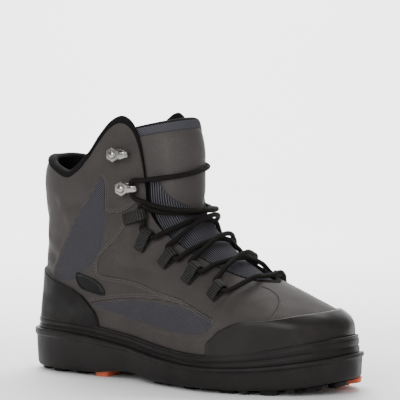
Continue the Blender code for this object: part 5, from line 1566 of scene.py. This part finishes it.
def stitch_row(places, offset, mirror):
    """Middles, directions and normals of the stitches along a curve, set off to one side of it."""
    curve = curve_places(places, steps=10)
    angle, z = on_side(curve[:, 0] * math.pi, mirror), curve[:, 1] * MM
    line, out = body(angle, z), facing(angle, z)
    ahead = unit(np.gradient(line, axis=0))
    line = line + np.cross(out, ahead) * offset * (-1 if mirror else 1)
    return resample(line, STITCH_PITCH, ahead, out)


def stitches(middle, ahead, out):
    """Beads: rings of six points, whose place, girth and depth at each ring come from the profile."""
    turn = full_turn(STITCH_CORNERS)[:, None]
    along_it, girth, sunk = STITCH_PROFILE.T[..., None, None]
    middle, ahead, out = (v[:, None, None] for v in (middle, ahead, out))
    spoke = np.cos(turn) * np.cross(out, ahead) + np.sin(turn) * out
    points = middle + ahead * along_it * STITCH_LENGTH + (out * sunk + spoke * girth) * STITCH_RADIUS
    rings = len(STITCH_PROFILE)
    starts = np.arange(len(middle)) * rings * STITCH_CORNERS
    faces = (tube(rings, STITCH_CORNERS)[None] + starts[:, None, None]).reshape(-1, 4)
    return points.reshape(-1, 3), faces, np.broadcast_to(spoke, points.shape).reshape(-1, 3)


rows = [stitch_row(places, offset * MM, mirror)
        for _, mirror in SIDES for places, offsets in SEWN for offset in offsets]
print("stitches:", sum(len(middle) for middle, _, _ in rows))

# %% Stitches
forms = [stitches(*row) for row in rows]
points, faces = joined([form[:2] for form in forms])
piece("seam_stitches", points, faces, THREAD, "webbing", hint=np.concatenate([form[2] for form in forms]))

# %% [markdown]
# ## What stays from the CAD
#
# The insole's solid is right as it is and only needs a finish.

# %% Insole finish
insole_finish = Finish("insole_felt", (0.045, 0.046, 0.052), 0.9)
insole_finish.bump(insole_finish.noise(1200.0, 3.0), 0.0002, 0.8)
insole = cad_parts["insole"]
insole.data.materials.clear()
insole.data.materials.append(insole_finish.material)
print("insole keeps", len(insole.data.polygons), "faces")

# %% [markdown]
# ## Floor, light and camera
#
# The studio is a pale floor under soft light from all round, with a broad key from the front left, a fill
# from the right, a faint light from above and a strong one on the backdrop. A plain white background would
# be simpler, but a floor gives the boot its shadow. The camera stands at 36 degrees to the boot's side,
# nearly level with it, far off behind a long lens, which keeps the sole's lines close to parallel.

# %% Directions of the camera
AZIMUTH, ELEVATION, ROLL = math.radians(36.45), math.radians(5.78), math.radians(-0.37)
AWAY = np.array([-math.sin(AZIMUTH), math.cos(AZIMUTH), 0.0])
SIDEWAYS = np.array([math.cos(AZIMUTH), math.sin(AZIMUTH), 0.0])
UPWARDS = np.array([0.0, 0.0, 1.0])
BOOT = np.array([0.110, 0.0, 0.100])
print("away from the camera:", AWAY.round(3).tolist())

# %% Floor
FLOOR_FRONT, FLOOR_BACK, FLOOR_CURVE, FLOOR_TOP, FLOOR_HALF = -2.2, 1.4, 1.0, 4.0, 4.0
FLOOR_PALE, FLOOR_PALER = (0.90, 0.90, 0.90), (0.93, 0.93, 0.93)


def studio_floor():
    """A plane that curves up into a backdrop: a profile with a quarter circle, carried across."""
    bend = np.linspace(0.0, math.pi / 2, 24)
    curve = np.column_stack([FLOOR_BACK + np.sin(bend) * FLOOR_CURVE, (1.0 - np.cos(bend)) * FLOOR_CURVE])
    profile = np.concatenate([[(FLOOR_FRONT, 0.0)], curve, [(FLOOR_BACK + FLOOR_CURVE, FLOOR_TOP)]])
    across = np.linspace(-FLOOR_HALF, FLOOR_HALF, 3)[None, :, None]
    return profile[:, None, :1] * AWAY + profile[:, None, 1:] * UPWARDS + across * SIDEWAYS


floor_finish = Finish("studio_floor", FLOOR_PALE, 0.7)
floor_finish.put("Base Color", floor_finish.mix(floor_finish.noise(3.0), FLOOR_PALE, FLOOR_PALER))
grid = studio_floor()
mesh = quad_mesh("studio_floor", grid.reshape(-1, 3), lattice(*grid.shape[:2]))
mesh.materials.append(floor_finish.material)
floor = bpy.data.objects.new("studio_floor", mesh)
bpy.context.scene.collection.objects.link(floor)
print("floor places:", len(mesh.vertices))

# %% Lights
WORLD_STRENGTH = 0.32
world = bpy.data.worlds.new("studio")
bpy.context.scene.world = world
world.use_nodes = True
sky = world.node_tree.nodes["Background"].inputs
sky["Color"].default_value = (1.0, 1.0, 1.0, 1.0)
sky["Strength"].default_value = WORLD_STRENGTH


def soft_light(name, place, aim, size, power):
    """A square area light whose own -Z points from its place to its aim; its power is in watts."""
    data = bpy.data.lights.new(name, "AREA")
    data.size, data.energy = size, power
    lamp = bpy.data.objects.new(name, data)
    lamp.location = place
    lamp.rotation_mode = "QUATERNION"
    lamp.rotation_quaternion = (Vector(aim) - Vector(place)).to_track_quat("-Z", "Y")
    bpy.context.scene.collection.objects.link(lamp)


soft_light("key", (0.45, -1.45, 0.80), BOOT, 1.0, 24.0)
soft_light("fill", (1.5, -0.4, 0.7), BOOT, 1.2, 6.0)
soft_light("top", (0.0, 0.3, 1.8), BOOT, 1.4, 3.0)
soft_light("backdrop", BOOT + AWAY * 1.0 + UPWARDS * 1.7, BOOT + AWAY * 2.3 + UPWARDS * 0.3, 1.6, 150.0)

# %% [markdown]
# The camera's place, roll and lens were fitted to the photograph. The boot isn't in the middle of its
# picture, so the camera is turned a little away from the boot, by as much as the middle of the picture lies
# from the boot's place in it.

# %% Camera
DISTANCE, FOCAL_PIXELS = 1.903, 2251.0
BOOT_PIXEL, IMAGE_PIXELS, SENSOR = np.array([189.69, 260.59]), 400.0, 36.0

back = UPWARDS * math.sin(ELEVATION) - AWAY * math.cos(ELEVATION)
upward = np.cross(back, SIDEWAYS)
right_hand = SIDEWAYS * math.cos(ROLL) + upward * math.sin(ROLL)
upward = upward * math.cos(ROLL) - SIDEWAYS * math.sin(ROLL)
place = BOOT + back * DISTANCE
offset = (IMAGE_PIXELS / 2 - BOOT_PIXEL) * DISTANCE / FOCAL_PIXELS
back = unit(place - (BOOT + right_hand * offset[0] - upward * offset[1]))
right_hand = unit(right_hand - back * np.dot(right_hand, back))
camera_data = bpy.data.cameras.new("camera")
camera_data.sensor_width, camera_data.lens = SENSOR, SENSOR * FOCAL_PIXELS / IMAGE_PIXELS
camera_data.clip_start, camera_data.clip_end = 0.05, 20.0
camera = bpy.data.objects.new("camera", camera_data)
axes = Matrix(np.array([right_hand, np.cross(back, right_hand), back]).T.tolist()).to_4x4()
axes.translation = Vector(place)
camera.matrix_world = axes
bpy.context.scene.collection.objects.link(camera)
bpy.context.scene.camera = camera
print("camera at, mm:", [round(v * 1000) for v in place])
